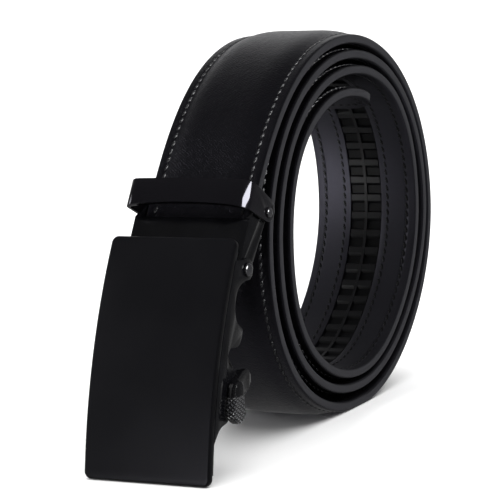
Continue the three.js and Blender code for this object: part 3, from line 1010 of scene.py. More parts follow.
@dataclass(frozen=True)
class PaleFloor:
    """The even white floor under the belt."""

    name: str = "pale_sweep"
    colour: Colour = (0.93, 0.93, 0.93, 1.0)

    def build(self) -> bpy.types.Material:
        """Returns the floor's material."""
        return Graph(self.name).finish(Base_Color=self.colour, Roughness=0.9, Specular_IOR_Level=0.1)


@dataclass
class EighthTurn:
    """One eighth of a turn of the coil, as shares of the coil's named sizes."""

    outside: float
    gaps: tuple[float, float, float]


@dataclass
class CoilShape:
    """The route of the strap's outer face in the side view, from its tip to the clamp.

    All lengths are in metres, and the side view is (behind the hinge, above the floor).
    """

    hinge_up: float
    radius: float = 56.5 * MM
    looseness: float = 3.0 * MM
    flattening: float = 0.25 * MM
    behind_hinge: float = 72.15 * MM
    thickness: float = 2.9 * MM
    tip_deg: float = -33.0
    lead_deg: float = 1110.0
    clamp_tilt_deg: float = 32.37
    mouth_along: float = 17.0 * MM
    end_along: float = 2.6 * MM
    front_in_clamp: float = 0.4 * MM
    first_outside: int = 18
    last_outside: int = 25
    innermost: int = -2
    step_deg: float = 1.5
    lead_steps: int = 36
    clamp_steps: int = 4
    eighths: tuple[EighthTurn, ...] = (
        EighthTurn(0.959, (1.03, 1.23, 1.2)),
        EighthTurn(1.044, (1.0, 1.07, 1.2)),
        EighthTurn(1.003, (0.73, 0.37, 1.2)),
        EighthTurn(0.949, (0.57, 0.57, 1.4)),
        EighthTurn(0.966, (0.2, 0.9, 1.7)),
        EighthTurn(1.0, (0.2, 0.37, 1.93)),
        EighthTurn(1.002, (0.6, 0.67, 1.17)),
        EighthTurn(1.009, (0.67, 0.8, 0.9)),
    )

    def eighth_radius(self, eighth: int) -> float:
        """Returns the radius of the outer face at a place counted in eighths of a turn.

        Args:
            eighth: the place, from the innermost turn outwards.

        Returns:
            The radius, in metres.
        """
        row = self.eighths[(eighth - self.first_outside) % EIGHTHS]
        if eighth >= self.first_outside:
            return row.outside * self.radius
        turns_in = math.ceil((self.first_outside - eighth) / EIGHTHS)
        gap = row.gaps[turns_in - 1] * self.looseness
        return self.eighth_radius(eighth + EIGHTHS) - self.thickness - gap

    def radius_at(self, degrees: float) -> float:
        """Returns the outer face's radius at an angle, eased between the eighths.

        Args:
            degrees: the angle from the top of the innermost turn, towards the front.

        Returns:
            The radius, in metres.
        """
        place = min(max(degrees / EIGHTH_DEG, self.innermost), self.last_outside)
        start = min(int(math.floor(place)), self.last_outside - 1)
        share = place - start
        around = [min(max(start + k, self.innermost), self.last_outside) for k in (-1, 0, 1, 2)]
        a, b, c, d = (self.eighth_radius(eighth) for eighth in around)
        return b + 0.5 * share * (
            c - a + share * (2 * a - 5 * b + 4 * c - d + share * (3 * (b - c) + d - a))
        )

    def coil_point(self, degrees: float) -> Vector:
        """Returns a point of the coil about its own middle."""
        angle, radius = math.radians(degrees), self.radius_at(degrees)
        return Vector((-radius * math.sin(angle), radius * math.cos(angle)))

    def clamp_point(self, along: float) -> Vector:
        """Places a point of the strap's outer face in the clamp.

        Args:
            along: how far it is up the clamp from the hinge, in metres.

        Returns:
            The point.
        """
        tilt = math.radians(self.clamp_tilt_deg)
        behind = self.front_in_clamp
        return Vector((
            behind * math.cos(tilt) + along * math.sin(tilt),
            -behind * math.sin(tilt) + along * math.cos(tilt) + self.hinge_up,
        ))

    def points(self) -> list[Vector]:
        """Draws the whole route, from the tip to the strap's fixed end.

        Returns:
            The route's points.
        """
        lowest = min(self.coil_point(self.lead_deg - i).y for i in range(361))
        middle = Vector((self.behind_hinge, -lowest - self.flattening))
        count = round((self.lead_deg - self.tip_deg) / self.step_deg)
        route = []
        for i in range(count + 1):
            point = self.coil_point(self.tip_deg + (self.lead_deg - self.tip_deg) * i / count) + middle
            route.append(Vector((point.x, max(point.y, 0.0))))
        leave, leave_way = route[-1], (route[-1] - route[-2]).normalized()
        mouth, end = self.clamp_point(self.mouth_along), self.clamp_point(self.end_along)
        mouth_way = (end - mouth).normalized()
        handle = (mouth - leave).length / 3
        first, second = leave + leave_way * handle, mouth - mouth_way * handle
        for i in range(1, self.lead_steps + 1):
            t = i / self.lead_steps
            start = leave * (1 - t) ** 3 + first * 3 * t * (1 - t) ** 2
            route.append(start + second * 3 * t * t * (1 - t) + mouth * t**3)
        route.extend(mouth.lerp(end, i / self.clamp_steps) for i in range(1, self.clamp_steps + 1))
        return route

    def length(self, to_deg: float | None = None) -> float:
        """Measures the strap.

        Args:
            to_deg: how far round the coil to measure; to the end if not given.

        Returns:
            The length from the tip, in metres.
        """
        route = self.points()
        if to_deg is not None:
            route = route[: round((to_deg - self.tip_deg) / self.step_deg) + 1]
        return sum((b - a).length for a, b in zip(route, route[1:]))


@dataclass
class Bender:
    """Bends flat pieces along a route in the side view.

    A flat piece lies with its length on X from 0, its depth on Y and its width on Z.
    """

    name: str
    route: list[Vector]
    origin: Vector
    guide: Piece = field(init=False)

    def __post_init__(self) -> None:
        """Draws the route as a flat curve."""
        deselect_all()
        bpy.ops.curve.primitive_bezier_curve_add()
        self.guide = bpy.context.object
        self.guide.name = self.name
        curve = self.guide.data
        curve.splines.clear()
        curve.dimensions = "2D"
        curve.fill_mode = "NONE"
        spline = curve.splines.new("POLY")
        spline.points.add(len(self.route) - 1)
        for point, (behind, up) in zip(spline.points, self.route):
            point.co = (behind, up, 0.0, 1.0)

    def bend(self, piece: Piece) -> None:
        """Bends a flat piece and puts it in its place.

        Args:
            piece: the flat piece, which keeps its flat place in an attribute.
        """
        mesh = piece.data
        flat = mesh.attributes.new(FLAT_PLACE, "FLOAT_VECTOR", "POINT")
        for item, point in zip(flat.data, mesh.vertices):
            item.vector = point.co
        follow = piece.modifiers.new("follow", "CURVE")
        follow.object = self.guide
        follow.deform_axis = "POS_X"
        apply_modifiers(piece)
        piece.rotation_euler = SIDE_VIEW
        piece.location = self.origin
        settle()

    def remove(self) -> None:
        """Deletes the guide curve."""
        curve = self.guide.data
        bpy.data.objects.remove(self.guide)
        bpy.data.curves.remove(curve)


@dataclass
class Strap:
    """The leather strap with its stitches and the toothed track in its tail."""

    bender: Bender
    length: float
    width: float = 35.0 * MM
    thickness: float = 2.9 * MM
    edge_round: float = 0.85 * MM
    edge_segments: int = 4
    tip_radius: float = 9.0 * MM
    tip_shares: tuple[float, ...] = (0.0, 0.03, 0.1, 0.2, 0.33, 0.5, 0.7)
    slice_length: float = 2.4 * MM
    groove_width: float = 11.0 * MM
    groove_depth: float = 1.5 * MM
    track_start: float = 35.0 * MM
    tooth_pitch: float = 6.0 * MM
    tooth_count: int = 48
    track_base: float = 0.45 * MM
    tooth_height: float = 0.75 * MM
    rib_width: float = 1.0 * MM
    rib_proud: float = 0.1 * MM
    tooth_foot: float = 0.44
    tooth_up: float = 0.60
    tooth_down: float = 0.94
    gap: float = 0.3 * MM
    seam_inset: float = 3.1 * MM
    seam_half_width: float = 0.6 * MM
    seam_depth: float = 0.16 * MM
    padding: float = 1.35 * MM
    padding_shape: tuple[tuple[float, float], ...] = (
        (13.0, 0.2), (12.0, 0.48), (10.8, 0.74), (9.2, 0.92), (7.4, 1.0),
    )
    coiled_padding: float = 0.22
    flat_padding: float = 0.001
    full_padding: float = 0.999
    padding_start: float = 0.0
    padding_ease: float = 25.0 * MM
    clamp_length: float = 16.0 * MM
    track_seam: float = 7.6 * MM
    stitch_pitch: float = 2.7 * MM
    stitch_length: float = 2.35 * MM
    stitch_width: float = 0.95 * MM
    stitch_height: float = 0.33 * MM
    stitch_sink: float = 0.04 * MM
    stitch_lean_deg: float = 13.0
    seam_end: float = 12.0 * MM
    track_seam_past: float = 4.0 * MM
    groove_ease: float = 0.18 * MM
    tooth_ease: float = 0.09 * MM

    @property
    def track_end(self) -> float:
        """Where the track ends along the strap."""
        return self.track_start + self.tooth_pitch * self.tooth_count

    @property
    def track_floor(self) -> float:
        """The depth of the track's under side."""
        return self.thickness - self.groove_depth + self.gap

    @property
    def tooth_root(self) -> float:
        """The depth of the strip between the teeth."""
        return self.track_floor + self.track_base

    def outline(self) -> Piece:
        """Makes one slice of the strap, open at both ends.

        Returns:
            The slice, with its padded outer face towards -Y.
        """
        half = self.width / 2
        piece = new_box("strap_leather_skin", (0, 0, -half), (self.slice_length, self.thickness, half))
        long_edge = self.slice_length / 2
        bevel_edges(piece, self.edge_round, self.edge_segments, lambda a, b: abs(a.x - b.x) > long_edge)
        lip, seam = self.groove_width / 2, half - self.seam_inset
        lifts = [(place * MM, -self.padding * share) for place, share in self.padding_shape]
        lifts += [(lip, -self.padding), (0.0, -self.padding), (seam, self.seam_depth)]
        lifts += [(seam - self.seam_half_width, 0.0), (seam + self.seam_half_width, 0.0)]
        for across, _ in lifts:
            for place in {across, -across}:
                cut_across(piece, place, 2)
        for across, lift in lifts:
            move_points(
                piece, (0, lift, 0),
                lambda p, at=across: abs(p.y) < TINY and abs(abs(p.z) - at) < TINY,
            )
        delete_faces(piece, lambda spot, normal: abs(normal.x) > 0.5)
        return piece

    def padding_share(self, distance: float) -> float:
        """Returns how much of the padding stands out at a distance from the tip.

        Args:
            distance: how far from the strap's tip, in metres.

        Returns:
            1 on the coil's outside, less where the turns lie on each other, 0 in the clamp.
        """
        rise = min(max((distance - self.padding_start) / self.padding_ease, 0.0), 1.0)
        fall = min(max((self.length - self.clamp_length - distance) / self.padding_ease, 0.0), 1.0)
        eased = [share * share * (3 - 2 * share) for share in (rise, fall)]
        return (self.coiled_padding + (1 - self.coiled_padding) * eased[0]) * eased[1]

    def press(self, piece: Piece, low: float, high: float, share: float) -> None:
        """Scales the padding's height between two distances from the tip.

        Args:
            piece: the flat strap.
            low: the nearer distance, in metres.
            high: the farther distance.
            share: how much of the height stays.
        """
        select_points(piece, lambda p: p.y < -TINY and low < p.x < high)
        resize(1, max(share, self.flat_padding), 1)
        object_mode()

    def press_padding(self, piece: Piece) -> None:
        """Presses the padding flatter where the turns lie on each other and in the clamp.

        Args:
            piece: the closed flat strap.
        """
        self.press(piece, -self.slice_length / 2, self.padding_start, self.coiled_padding)
        rings = {round(point.co.x, 6) for point in piece.data.vertices if point.co.x > self.padding_start}
        for ring in sorted(rings):
            share = self.padding_share(ring)
            if share < self.full_padding:
                self.press(piece, ring - NEAR, ring + NEAR, share)

    def half_width_at(self, distance: float) -> float:
        """Returns half the strap's width at a distance from its tip."""
        short = max(0.0, self.tip_radius - distance)
        return self.width / 2 - self.tip_radius + math.sqrt(self.tip_radius**2 - short**2)

    def round_tip(self, piece: Piece) -> None:
        """Draws the strap's start out to its rounded tip and closes both ends.

        Args:
            piece: the row of slices, open at both ends.
        """
        start = self.tip_radius
        width = self.half_width_at(start)
        select_edges(piece, lambda a, b: max(a.x, b.x) < start + NEAR)
        for share in reversed(self.tip_shares):
            distance = share * self.tip_radius
            narrower = self.half_width_at(distance)
            bpy.ops.mesh.extrude_edges_move(TRANSFORM_OT_translate={"value": (distance - start, 0, 0)})
            resize(1, 1, narrower / width)
            start, width = distance, narrower
        bpy.ops.mesh.edge_face_add()
        object_mode()
        close_ring(piece, lambda a, b: min(a.x, b.x) > self.length - NEAR)

    def cut_groove(self, piece: Piece) -> None:
        """Sinks the track's groove into the strap's inner face and softens its lips.

        Args:
            piece: the closed flat strap.
        """
        low = self.track_start - self.gap
        high = self.track_end + self.gap
        for place in (low, high):
            cut_across(piece, place, 0)
        half, inner = self.groove_width / 2, self.thickness - TINY
        select_faces(piece, lambda spot, _: spot.y > inner and abs(spot.z) < half and low < spot.x < high)
        extrude(0, -self.groove_depth, 0)
        object_mode()
        add_bevel(piece, self.groove_ease, segments=2, angle_deg=50.0)

    def build_leather(self) -> Piece:
        """Makes the whole strap and bends it along its coil.

        Returns:
            The strap.
        """
        piece = self.outline()
        count = round((self.length - self.tip_radius) / self.slice_length)
        step = (self.length - self.tip_radius) / count
        piece.scale = (step / self.slice_length, 1, 1)
        piece.location = (self.tip_radius, 0, 0)
        activate(piece)
        settle()
        repeat_along(piece, count, (step, 0, 0), ROW_WELD)
        self.round_tip(piece)
        mend_normals(piece, TINY)
        self.press_padding(piece)
        self.cut_groove(piece)
        self.bender.bend(piece)
        press_to_floor(piece)
        smooth(piece, angle_deg=35.0)
        return piece

    def stitch_depth(self, face: StrapFace) -> float:
        """Returns the depth at which a face's stitches are centred."""
        return self.stitch_sink if face is StrapFace.OUTER else self.thickness - self.stitch_sink

    def one_stitch(self, name: str) -> Piece:
        """Makes one stitch at the origin, lying along X.

        Args:
            name: its name.

        Returns:
            The stitch.
        """
        deselect_all()
        bpy.ops.mesh.primitive_uv_sphere_add(segments=8, ring_count=6, radius=1.0)
        piece = bpy.context.object
        piece.name = name
        piece.rotation_euler = (0.0, math.pi / 2, 0.0)
        settle()
        piece.scale = (self.stitch_length / 2, self.stitch_height, self.stitch_width / 2)
        settle()
        piece.rotation_euler = (0.0, math.radians(self.stitch_lean_deg), 0.0)
        settle()
        return piece

    def stitch_row(self, name: str, face: StrapFace, across: float, start: float, end: float) -> Piece:
        """Lays a straight row of stitches on the flat strap.

        Args:
            name: the row's name.
            face: the face that it shows on.
            across: its place across the strap.
            start: where the row starts along the strap.
            end: where it ends.

        Returns:
            The row.
        """
        piece = self.one_stitch(name)
        piece.location = (start + self.stitch_pitch / 2, self.stitch_depth(face), across)
        settle()
        repeat_along(piece, int((end - start) / self.stitch_pitch), (self.stitch_pitch, 0, 0))
        return piece

    def tip_stitches(self, face: StrapFace) -> Piece:
        """Lays the stitches that run round the tip, one copied to each place.

        Args:
            face: the face that they show on.

        Returns:
            The joined stitches.
        """
        inset = self.seam_inset
        corner = self.tip_radius - inset
        flat = self.width - 2 * self.tip_radius
        arc = corner * math.pi / 2
        total = 2 * arc + flat
        count = round(total / self.stitch_pitch)
        first = self.one_stitch(f"tip_stitches_{face.value}")
        places = []
        for i in range(count):
            run = total * (i + 0.5) / count
            if run < arc or run > arc + flat:
                side = -1 if run < arc else 1
                angle = (run if run < arc else total - run) / corner
                x = self.tip_radius - corner * math.sin(angle)
                z = side * (flat / 2 + corner * math.cos(angle))
                places.append((x, z, side * angle))
            else:
                places.append((inset, run - arc - flat / 2, math.pi / 2))
        pieces = [first, *(copy_of(first) for _ in places[1:])]
        for piece, (x, z, angle) in zip(pieces, places):
            activate(piece)
            piece.rotation_euler = (0.0, angle, 0.0)
            piece.location = (x, self.stitch_depth(face), z)
            settle()
        return join_all(pieces, first.name)

    def build_stitches(self) -> list[Piece]:
        """Makes the rows of stitches of both faces and bends them along the coil.

        Returns:
            The outer stitches and the inner ones.
        """
        edge = self.width / 2 - self.seam_inset
        seam = (self.tip_radius, self.length - self.seam_end)
        track_seam = (self.track_start - self.track_seam_past, self.track_end + self.track_seam_past)
        made = []
        for face in StrapFace:
            rows = [self.tip_stitches(face)]
            for side, word in ((-1, "left"), (1, "right")):
                rows.append(self.stitch_row(f"row_{face.value}_{word}", face, side * edge, *seam))
                if face is StrapFace.INNER:
                    across = side * self.track_seam
                    rows.append(self.stitch_row(f"track_row_{word}", face, across, *track_seam))
            piece = join_all(rows, f"strap_stitches_{face.value}")
            self.bender.bend(piece)
            press_to_floor(piece)
            smooth(piece, angle_deg=60.0)
            made.append(piece)
        return made

    def build_track(self) -> Piece:
        """Makes one pitch of the track, repeats it and bends it into its groove.

        Returns:
            The track.
        """
        half, rib = self.groove_width / 2 - self.gap, self.rib_width / 2
        pitch, root = self.tooth_pitch, self.tooth_root
        piece = new_box("ratchet_strip", (0, self.track_floor, -half), (pitch, root, half))
        for share in (self.tooth_foot, self.tooth_up, self.tooth_down):
            cut_across(piece, share * pitch, 0)
        for across in (-rib, rib):
            cut_across(piece, across, 2)
        select_faces(piece, lambda spot, normal: normal.y > 0.5 and abs(spot.z) < rib)
        extrude(0, self.tooth_height + self.rib_proud, 0)
        object_mode()
        for place in (self.tooth_up * pitch, self.tooth_down * pitch):
            move_points(
                piece, (0, self.tooth_height, 0),
                lambda p, at=place: abs(p.x - at) < TINY and abs(p.y - root) < TINY,
            )
        delete_faces(piece, lambda spot, normal: abs(normal.x) > 0.99 and not TINY < spot.x < pitch - TINY)
        repeat_along(piece, self.tooth_count, (pitch, 0, 0), ROW_WELD)
        for place in (0.0, pitch * self.tooth_count):
            close_ring(piece, lambda a, b, at=place: abs(a.x - at) < TINY and abs(b.x - at) < TINY)
        piece.location = (self.track_start, 0, 0)
        settle()
        mend_normals(piece, TINY)
        add_bevel(piece, self.tooth_ease, segments=1, angle_deg=40.0)
        self.bender.bend(piece)
        smooth(piece, angle_deg=30.0)
        return piece

    def build(self) -> None:
        """Makes and dresses the strap, its stitches and its track."""
        leather = StrapLeather(self.width / 2, self.thickness, self.seam_inset).build()
        dress(self.build_leather(), leather, Body.BELT, ("strap",))
        thread = WaxedThread().build()
        for row in self.build_stitches():
            dress(row, thread, Body.BELT)
        plastic = TrackPlastic(self.tooth_root, self.tooth_root + self.tooth_height).build()
        dress(self.build_track(), plastic, Body.BELT, ("ratchet_track",))


@dataclass
class FacePlate:
    """The plain convex plate at the buckle's front."""

    hinge: Vector
    tilt_deg: float = 21.07
    width: float = 40.6 * MM
    chord: float = 69.6 * MM
    thickness: float = 2.2 * MM
    radius: float = 180.0 * MM
    corner: float = 2.0 * MM
    corner_segments: int = 8
    front_ease: float = 0.75 * MM
    front_segments: int = 5
    rear_ease: float = 0.22 * MM
    rear_segments: int = 2
    hinge_below_top: float = 7.5 * MM
    hinge_behind_top: float = 8.2 * MM
    strip: float = 3.2 * MM
    route_steps: int = 120

    @property
    def half_angle(self) -> float:
        """Half the angle that the plate bends through."""
        return math.asin(self.chord / 2 / self.radius)

    def route(self) -> list[Vector]:
        """Draws the plate's front face in the side view, from its top to its lower edge.

        Returns:
            The route's points.
        """
        tilt = math.radians(self.tilt_deg)
        centre_behind = -self.hinge_behind_top + self.radius * math.cos(self.half_angle)
        centre_up = self.hinge_below_top - self.chord / 2
        points = []
        for i in range(self.route_steps + 1):
            angle = self.half_angle * (1 - 2 * i / self.route_steps)
            behind = centre_behind - self.radius * math.cos(angle)
            up = centre_up + self.radius * math.sin(angle)
            points.append(Vector((
                behind * math.cos(tilt) + up * math.sin(tilt),
                -behind * math.sin(tilt) + up * math.cos(tilt),
            )))
        return points

    def build(self, finish: bpy.types.Material) -> None:
        """Makes the flat plate, rounds it, bends it and dresses it.

        Args:
            finish: its paint.
        """
        length = 2 * self.half_angle * self.radius
        half = self.width / 2
        piece = new_box("face_plate_skin", (0, 0, -half), (length, self.thickness, half))
        deep = self.thickness / 2
        bevel_edges(piece, self.corner, self.corner_segments, lambda a, b: abs(a.y - b.y) > deep)
        bevel_edges(piece, self.front_ease, self.front_segments, lambda a, b: max(a.y, b.y) < TINY)
        rear = self.thickness - TINY
        bevel_edges(piece, self.rear_ease, self.rear_segments, lambda a, b: min(a.y, b.y) > rear)
        count = round(length / self.strip)
        for i in range(1, count):
            cut_across(piece, length * i / count, 0)
        bender = Bender("plate_bend", self.route(), self.hinge)
        bender.bend(piece)
        bender.remove()
        mend_normals(piece, TINY)
        smooth(piece, angle_deg=30.0)
        dress(piece, finish, Body.BUCKLE, ("face_plate",))


@dataclass
class TurnedPin:
    """A pin or rivet along X with one or two domed heads."""

    node: str
    body: Body
    radius: float
    head_radius: float
    head_height: float
    head_low: bool = True
    head_high: bool = True
    head_wall: float = 0.3
    dome_rings: int = 6
    dome_open: float = 0.6
    sides: int = 40

    def draw_head(self, piece: Piece, end: float, out: int) -> None:
        """Draws a domed head out of one end of the shank.

        Args:
            piece: the shank.
            end: the X of the shank's end, where the head starts.
            out: 1 for the high end, -1 for the low end.
        """
        middle = centre_of(self.node)
        centre = (end, middle.y, middle.z)
        select_faces(piece, lambda spot, normal: normal.x * out > 0.9 and abs(spot.x - end) < NEAR)
        wider = self.head_radius / self.radius
        extrude(0, 0, 0)
        resize(1, wider, wider, centre)
        extrude(out * self.head_height * self.head_wall, 0, 0)
        dome = out * self.head_height * (1 - self.head_wall)
        last_radius, last_height = 1.0, 0.0
        for ring in range(1, self.dome_rings + 1):
            angle = math.pi / 2 * ring / (self.dome_rings + self.dome_open)
            radius, height = math.cos(angle), math.sin(angle)
            extrude(dome * (height - last_height), 0, 0)
            resize(1, radius / last_radius, radius / last_radius, centre)
            last_radius, last_height = radius, height
        object_mode()

    def build(self, finish: bpy.types.Material) -> None:
        """Makes the pin in the CAD node's place and dresses it.

        Args:
            finish: its material.
        """
        low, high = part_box(self.node)
        middle = (low + high) / 2
        start = low.x + (self.head_height if self.head_low else 0)
        end = high.x - (self.head_height if self.head_high else 0)
        deselect_all()
        bpy.ops.mesh.primitive_cylinder_add(
            vertices=self.sides,
            radius=self.radius,
            depth=end - start,
            location=((start + end) / 2, middle.y, middle.z),
            rotation=(0.0, math.pi / 2, 0.0),
        )
        piece = bpy.context.object
        piece.name = self.node + "_turned"
        settle()
        if self.head_low:
            self.draw_head(piece, start, -1)
        if self.head_high:
            self.draw_head(piece, end, 1)
        mend_normals(piece, TINY / 2)
        smooth(piece, angle_deg=40.0)
        dress(piece, finish, self.body, (self.node,))


@dataclass
class Hardware:
    """The buckle's and the clamp's metal, softened from the CAD solids."""

    hinge: Vector
    sheet_round: float = 0.18 * MM
    clamp_round: float = 0.30 * MM
    bar_round: float = 0.45 * MM
    lever_round: float = 0.22 * MM
    knurl_below_top: float = 6.2 * MM
    plate_paint: BlackPaint = BlackPaint(
        "matte_black_paint", (0.0038, 0.0038, 0.0045, 1.0), (0.0052, 0.0052, 0.0060, 1.0),
        rough_low=0.34, rough_high=0.42, specular=0.12,
    )
    loop_paint: BlackPaint = BlackPaint(
        "gloss_black_paint", (0.0008, 0.0007, 0.0010, 1.0), (0.0014, 0.0013, 0.0017, 1.0),
        rough_low=0.10, rough_high=0.15, specular=0.50,
    )
    sheet_steel: BlackSteel = BlackSteel(
        "black_steel", (0.0006, 0.0006, 0.0008, 1.0), (0.0013, 0.0013, 0.0016, 1.0),
        rough_low=0.14, rough_high=0.20, specular=0.36,
    )
    pin_steel: BlackSteel = BlackSteel(
        "polished_steel", (0.004, 0.004, 0.0045, 1.0), (0.008, 0.008, 0.009, 1.0),
        rough_low=0.06, rough_high=0.10, specular=1.0,
    )

    def build_sheet(self) -> None:
        """Makes and dresses the bent and cast pieces."""
        steel, paint = self.sheet_steel.build(), self.loop_paint.build()
        knurl = KnurledSteel(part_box("release_lever")[1].z - self.knurl_below_top).build()
        pieces = (
            ("buckle_housing", Body.BUCKLE, Slot.STEEL, steel, self.sheet_round),
            ("strap_clamp", Body.BELT, Slot.STEEL, steel, self.clamp_round),
            ("clamp_jaw", Body.BELT, Slot.STEEL, steel, self.sheet_round),
            ("keeper_loop", Body.KEEPER_LOOP, Slot.PAINT, paint, self.bar_round),
            ("pawl", Body.RELEASE_LEVER, Slot.STEEL, steel, self.sheet_round),
            ("release_lever", Body.RELEASE_LEVER, Slot.STEEL, knurl, self.lever_round),
        )
        for node, body, slot, finish, width in pieces:
            dress(soften_node(node, width), finish, body, (node,))

    def build_pins(self) -> None:
        """Makes and dresses the pins and the rivets."""
        steel = self.pin_steel.build()
        pin_sizes = {"radius": 1.2 * MM, "head_radius": 1.9 * MM, "head_height": 0.9 * MM}
        rivet_sizes = {"radius": 0.9 * MM, "head_radius": 1.4 * MM, "head_height": 0.6 * MM}
        pins = (
            TurnedPin("hinge_pin", Body.BUCKLE, **pin_sizes),
            TurnedPin("lever_axle", Body.RELEASE_LEVER, **pin_sizes, head_high=False),
            TurnedPin("loop_rivet_left", Body.BELT, **rivet_sizes, head_high=False),
            TurnedPin("loop_rivet_right", Body.BELT, **rivet_sizes, head_low=False),
        )
        for pin in pins:
            pin.build(steel)

    def build(self) -> None:
        """Makes and dresses every metal piece."""
        FacePlate(self.hinge).build(self.plate_paint.build())
        self.build_sheet()
        self.build_pins()


@dataclass
class Room:
    """The room around the belt, lit from above.

    It is white where it is seen. In reflections it is dim but for a backdrop, a front panel and the
    floor's glow, and each of these fades between the two heights or sides that its field gives.
    """

    shade: float = 0.25
    backdrop: float = 0.95
    backdrop_behind: tuple[float, float] = (0.25, 0.7)
    backdrop_top: tuple[float, float] = (0.70, 0.42)
    backdrop_foot: tuple[float, float] = (-0.42, -0.2)
    backdrop_side: tuple[float, float] = (0.25, -0.15)
    reflected_shade: float = 0.12
    reflected_backdrop: float = 0.95
    floor_glow: float = 0.13
    floor_glow_from: tuple[float, float] = (-0.1, -0.55)
    front_panel: float = 15.0
    front_panel_way: tuple[float, float, float] = (-0.14, -0.975, -0.17)
    front_panel_fade: tuple[float, float] = (0.955, 0.995)
    overhead_strength: float = 4.4
    overhead_spread_deg: float = 90.0
    overhead_tilt_deg: tuple[float, ...] = (-6.0, 0.0, 0.0)

    def build_world(self) -> None:
        """Makes the light that comes from all round."""
        world = bpy.data.worlds.new("room")
        world.use_nodes = True
        nodes = Nodes(world.node_tree)
        way = nodes.node("ShaderNodeTexCoord").outputs["Generated"]
        x, y, z = nodes.parts(way)
        behind = nodes.math("MULTIPLY", nodes.fade(y, self.backdrop_behind), nodes.fade(z, self.backdrop_top))
        beside = nodes.math("MULTIPLY", nodes.fade(x, self.backdrop_side), nodes.fade(z, self.backdrop_foot))
        diffuse = nodes.math("ADD", nodes.math("MULTIPLY", behind, self.backdrop), self.shade)
        leans = [nodes.math("MULTIPLY", axis, share) for axis, share in zip((x, y, z), self.front_panel_way)]
        in_front = nodes.fade(nodes.chain("ADD", *leans), self.front_panel_fade)
        reflected = nodes.chain(
            "ADD",
            nodes.chain("MULTIPLY", behind, beside, self.reflected_backdrop),
            self.reflected_shade,
            nodes.math("MULTIPLY", in_front, self.front_panel),
            nodes.math("MULTIPLY", nodes.fade(z, self.floor_glow_from), self.floor_glow),
        )
        rays = nodes.node("ShaderNodeLightPath").outputs
        lit = nodes.math("MULTIPLY", diffuse, nodes.math("SUBTRACT", 1.0, rays["Is Glossy Ray"]))
        mirrored = nodes.math("MULTIPLY", reflected, rays["Is Glossy Ray"])
        seen = nodes.math("MAXIMUM", nodes.math("ADD", mirrored, lit), rays["Is Camera Ray"])
        nodes.fill(nodes.tree.nodes["Background"], Color=(1.0, 1.0, 1.0, 1.0), Strength=seen)
        bpy.context.scene.world = world

    def build_overhead(self) -> None:
        """Adds the wide soft light overhead, which nothing mirrors."""
        lamp = bpy.data.lights.new("overhead_dome", "SUN")
        lamp.energy = self.overhead_strength
        lamp.angle = math.radians(self.overhead_spread_deg)
        holder = bpy.data.objects.new("overhead_dome", lamp)
        holder.rotation_euler = [math.radians(angle) for angle in self.overhead_tilt_deg]
        holder.visible_glossy = False
        bpy.context.scene.collection.objects.link(holder)


@dataclass(frozen=True)
class SoftBox:
    """A soft rectangular light that points at the belt's middle."""

    name: str
    place: tuple[float, float, float]
    size: tuple[float, float]
    power: float
    aim: tuple[float, float, float] = (0.0, 0.0, 0.06)

    def build(self, only: Sequence[Piece] = ()) -> None:
        """Adds the light.

        Args:
            only: the pieces that it lights, or nothing for all.
        """
        lamp = bpy.data.lights.new(self.name, "AREA")
        lamp.shape = "RECTANGLE"
        lamp.size, lamp.size_y = self.size
        lamp.energy = self.power
        holder = bpy.data.objects.new(self.name, lamp)
        holder.location = self.place
        way = Vector(self.aim) - Vector(self.place)
        holder.rotation_euler = way.to_track_quat("-Z", "Y").to_euler()
        bpy.context.scene.collection.objects.link(holder)
        if only:
            lit = bpy.data.collections.new(self.name + "_lights")
            for piece in only:
                lit.objects.link(piece)
            holder.light_linking.receiver_collection = lit


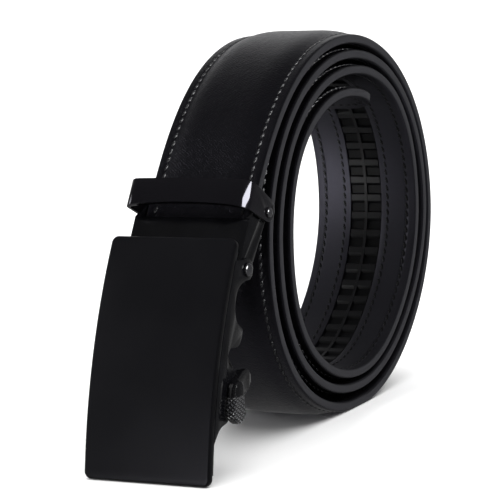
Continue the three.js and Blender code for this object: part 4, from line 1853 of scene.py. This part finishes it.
@dataclass
class Studio:
    """A pale floor, soft lights and the photograph's camera."""

    hinge: Vector
    azimuth_deg: float = 29.76
    pitch_deg: float = 9.72
    roll_deg: float = -4.04
    distance: float = 0.805
    shift_right: float = -13.13 * MM
    shift_up: float = -11.81 * MM
    aim: tuple[float, float, float] = (0.0, 65.65 * MM, 5.05 * MM)
    lens_px: float = 2646.0
    image_px: float = 500.0
    sensor_mm: float = 36.0
    clip: tuple[float, float] = (0.01, 50.0)
    floor_size: float = 6.0
    side_box: SoftBox = SoftBox("right_box", (0.755, -0.283, 0.50), (1.1, 0.55), 42.0)
    front_box: SoftBox = SoftBox("left_soft", (-0.78, -0.30, 0.22), (0.25, 0.4), 1.4)
    side_lit: tuple[str, ...] = (
        "keeper_loop", "loop_rivet", "hinge_pin", "strap_clamp", "buckle_housing", "release_lever",
        "strap_stitches_outer",
    )

    def build_floor(self) -> None:
        """Adds the wide flat floor, which nothing mirrors."""
        deselect_all()
        bpy.ops.mesh.primitive_plane_add(size=self.floor_size, location=(0, 0, 0))
        floor = bpy.context.object
        floor.name = "pale_sweep"
        floor.data.materials.append(PaleFloor().build())
        floor.visible_glossy = False

    def build_lights(self) -> None:
        """Adds the lights and sets how bright values are shown."""
        room = Room()
        room.build_world()
        room.build_overhead()
        glinting = [piece for piece in bpy.data.objects if piece.name.startswith(self.side_lit)]
        log.info("pieces under the side box: %s", [piece.name for piece in glinting])
        self.side_box.build(glinting)
        self.front_box.build()
        view = bpy.context.scene.view_settings
        view.view_transform = "Standard"
        view.look = "None"

    def build_camera(self) -> None:
        """Sets the photograph's camera."""
        azimuth, pitch = math.radians(self.azimuth_deg), math.radians(self.pitch_deg)
        forward = Vector((
            -math.sin(azimuth) * math.cos(pitch),
            math.cos(azimuth) * math.cos(pitch),
            -math.sin(pitch),
        ))
        right = Vector((math.cos(azimuth), math.sin(azimuth), 0.0))
        up = right.cross(forward)
        roll = math.radians(self.roll_deg)
        right, up = (
            right * math.cos(roll) + up * math.sin(roll),
            up * math.cos(roll) - right * math.sin(roll),
        )
        target = self.hinge + Vector(self.aim)
        data = bpy.data.cameras.new("photo_camera")
        data.sensor_width = self.sensor_mm
        data.lens = self.lens_px / self.image_px * self.sensor_mm
        data.clip_start, data.clip_end = self.clip
        camera = bpy.data.objects.new("photo_camera", data)
        turn = Matrix((right, up, -forward)).transposed().to_4x4()
        place = target - forward * self.distance + right * self.shift_right + up * self.shift_up
        camera.matrix_world = Matrix.Translation(place) @ turn
        bpy.context.scene.collection.objects.link(camera)
        bpy.context.scene.camera = camera

    def build(self) -> None:
        """Adds the floor, the lights and the camera."""
        self.build_floor()
        self.build_lights()
        self.build_camera()


def centre_of(node: str) -> Vector:
    """Returns the middle of a CAD node's box."""
    low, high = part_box(node)
    return (low + high) / 2


def main() -> None:
    """Builds the strap, the hardware and the studio in order."""
    logging.basicConfig(level=logging.INFO, format="%(name)s %(message)s")
    pin = centre_of("hinge_pin")
    across = centre_of("strap").x
    hinge = Vector((across, pin.y, pin.z))
    coil = CoilShape(hinge_up=hinge.z)
    bender = Bender("strap_route", coil.points(), Vector((across, hinge.y, 0.0)))
    Strap(bender, coil.length(), padding_start=coil.length(coil.lead_deg - 360)).build()
    bender.remove()
    Hardware(hinge).build()
    Studio(hinge).build()


if __name__ == "__main__":
    main()
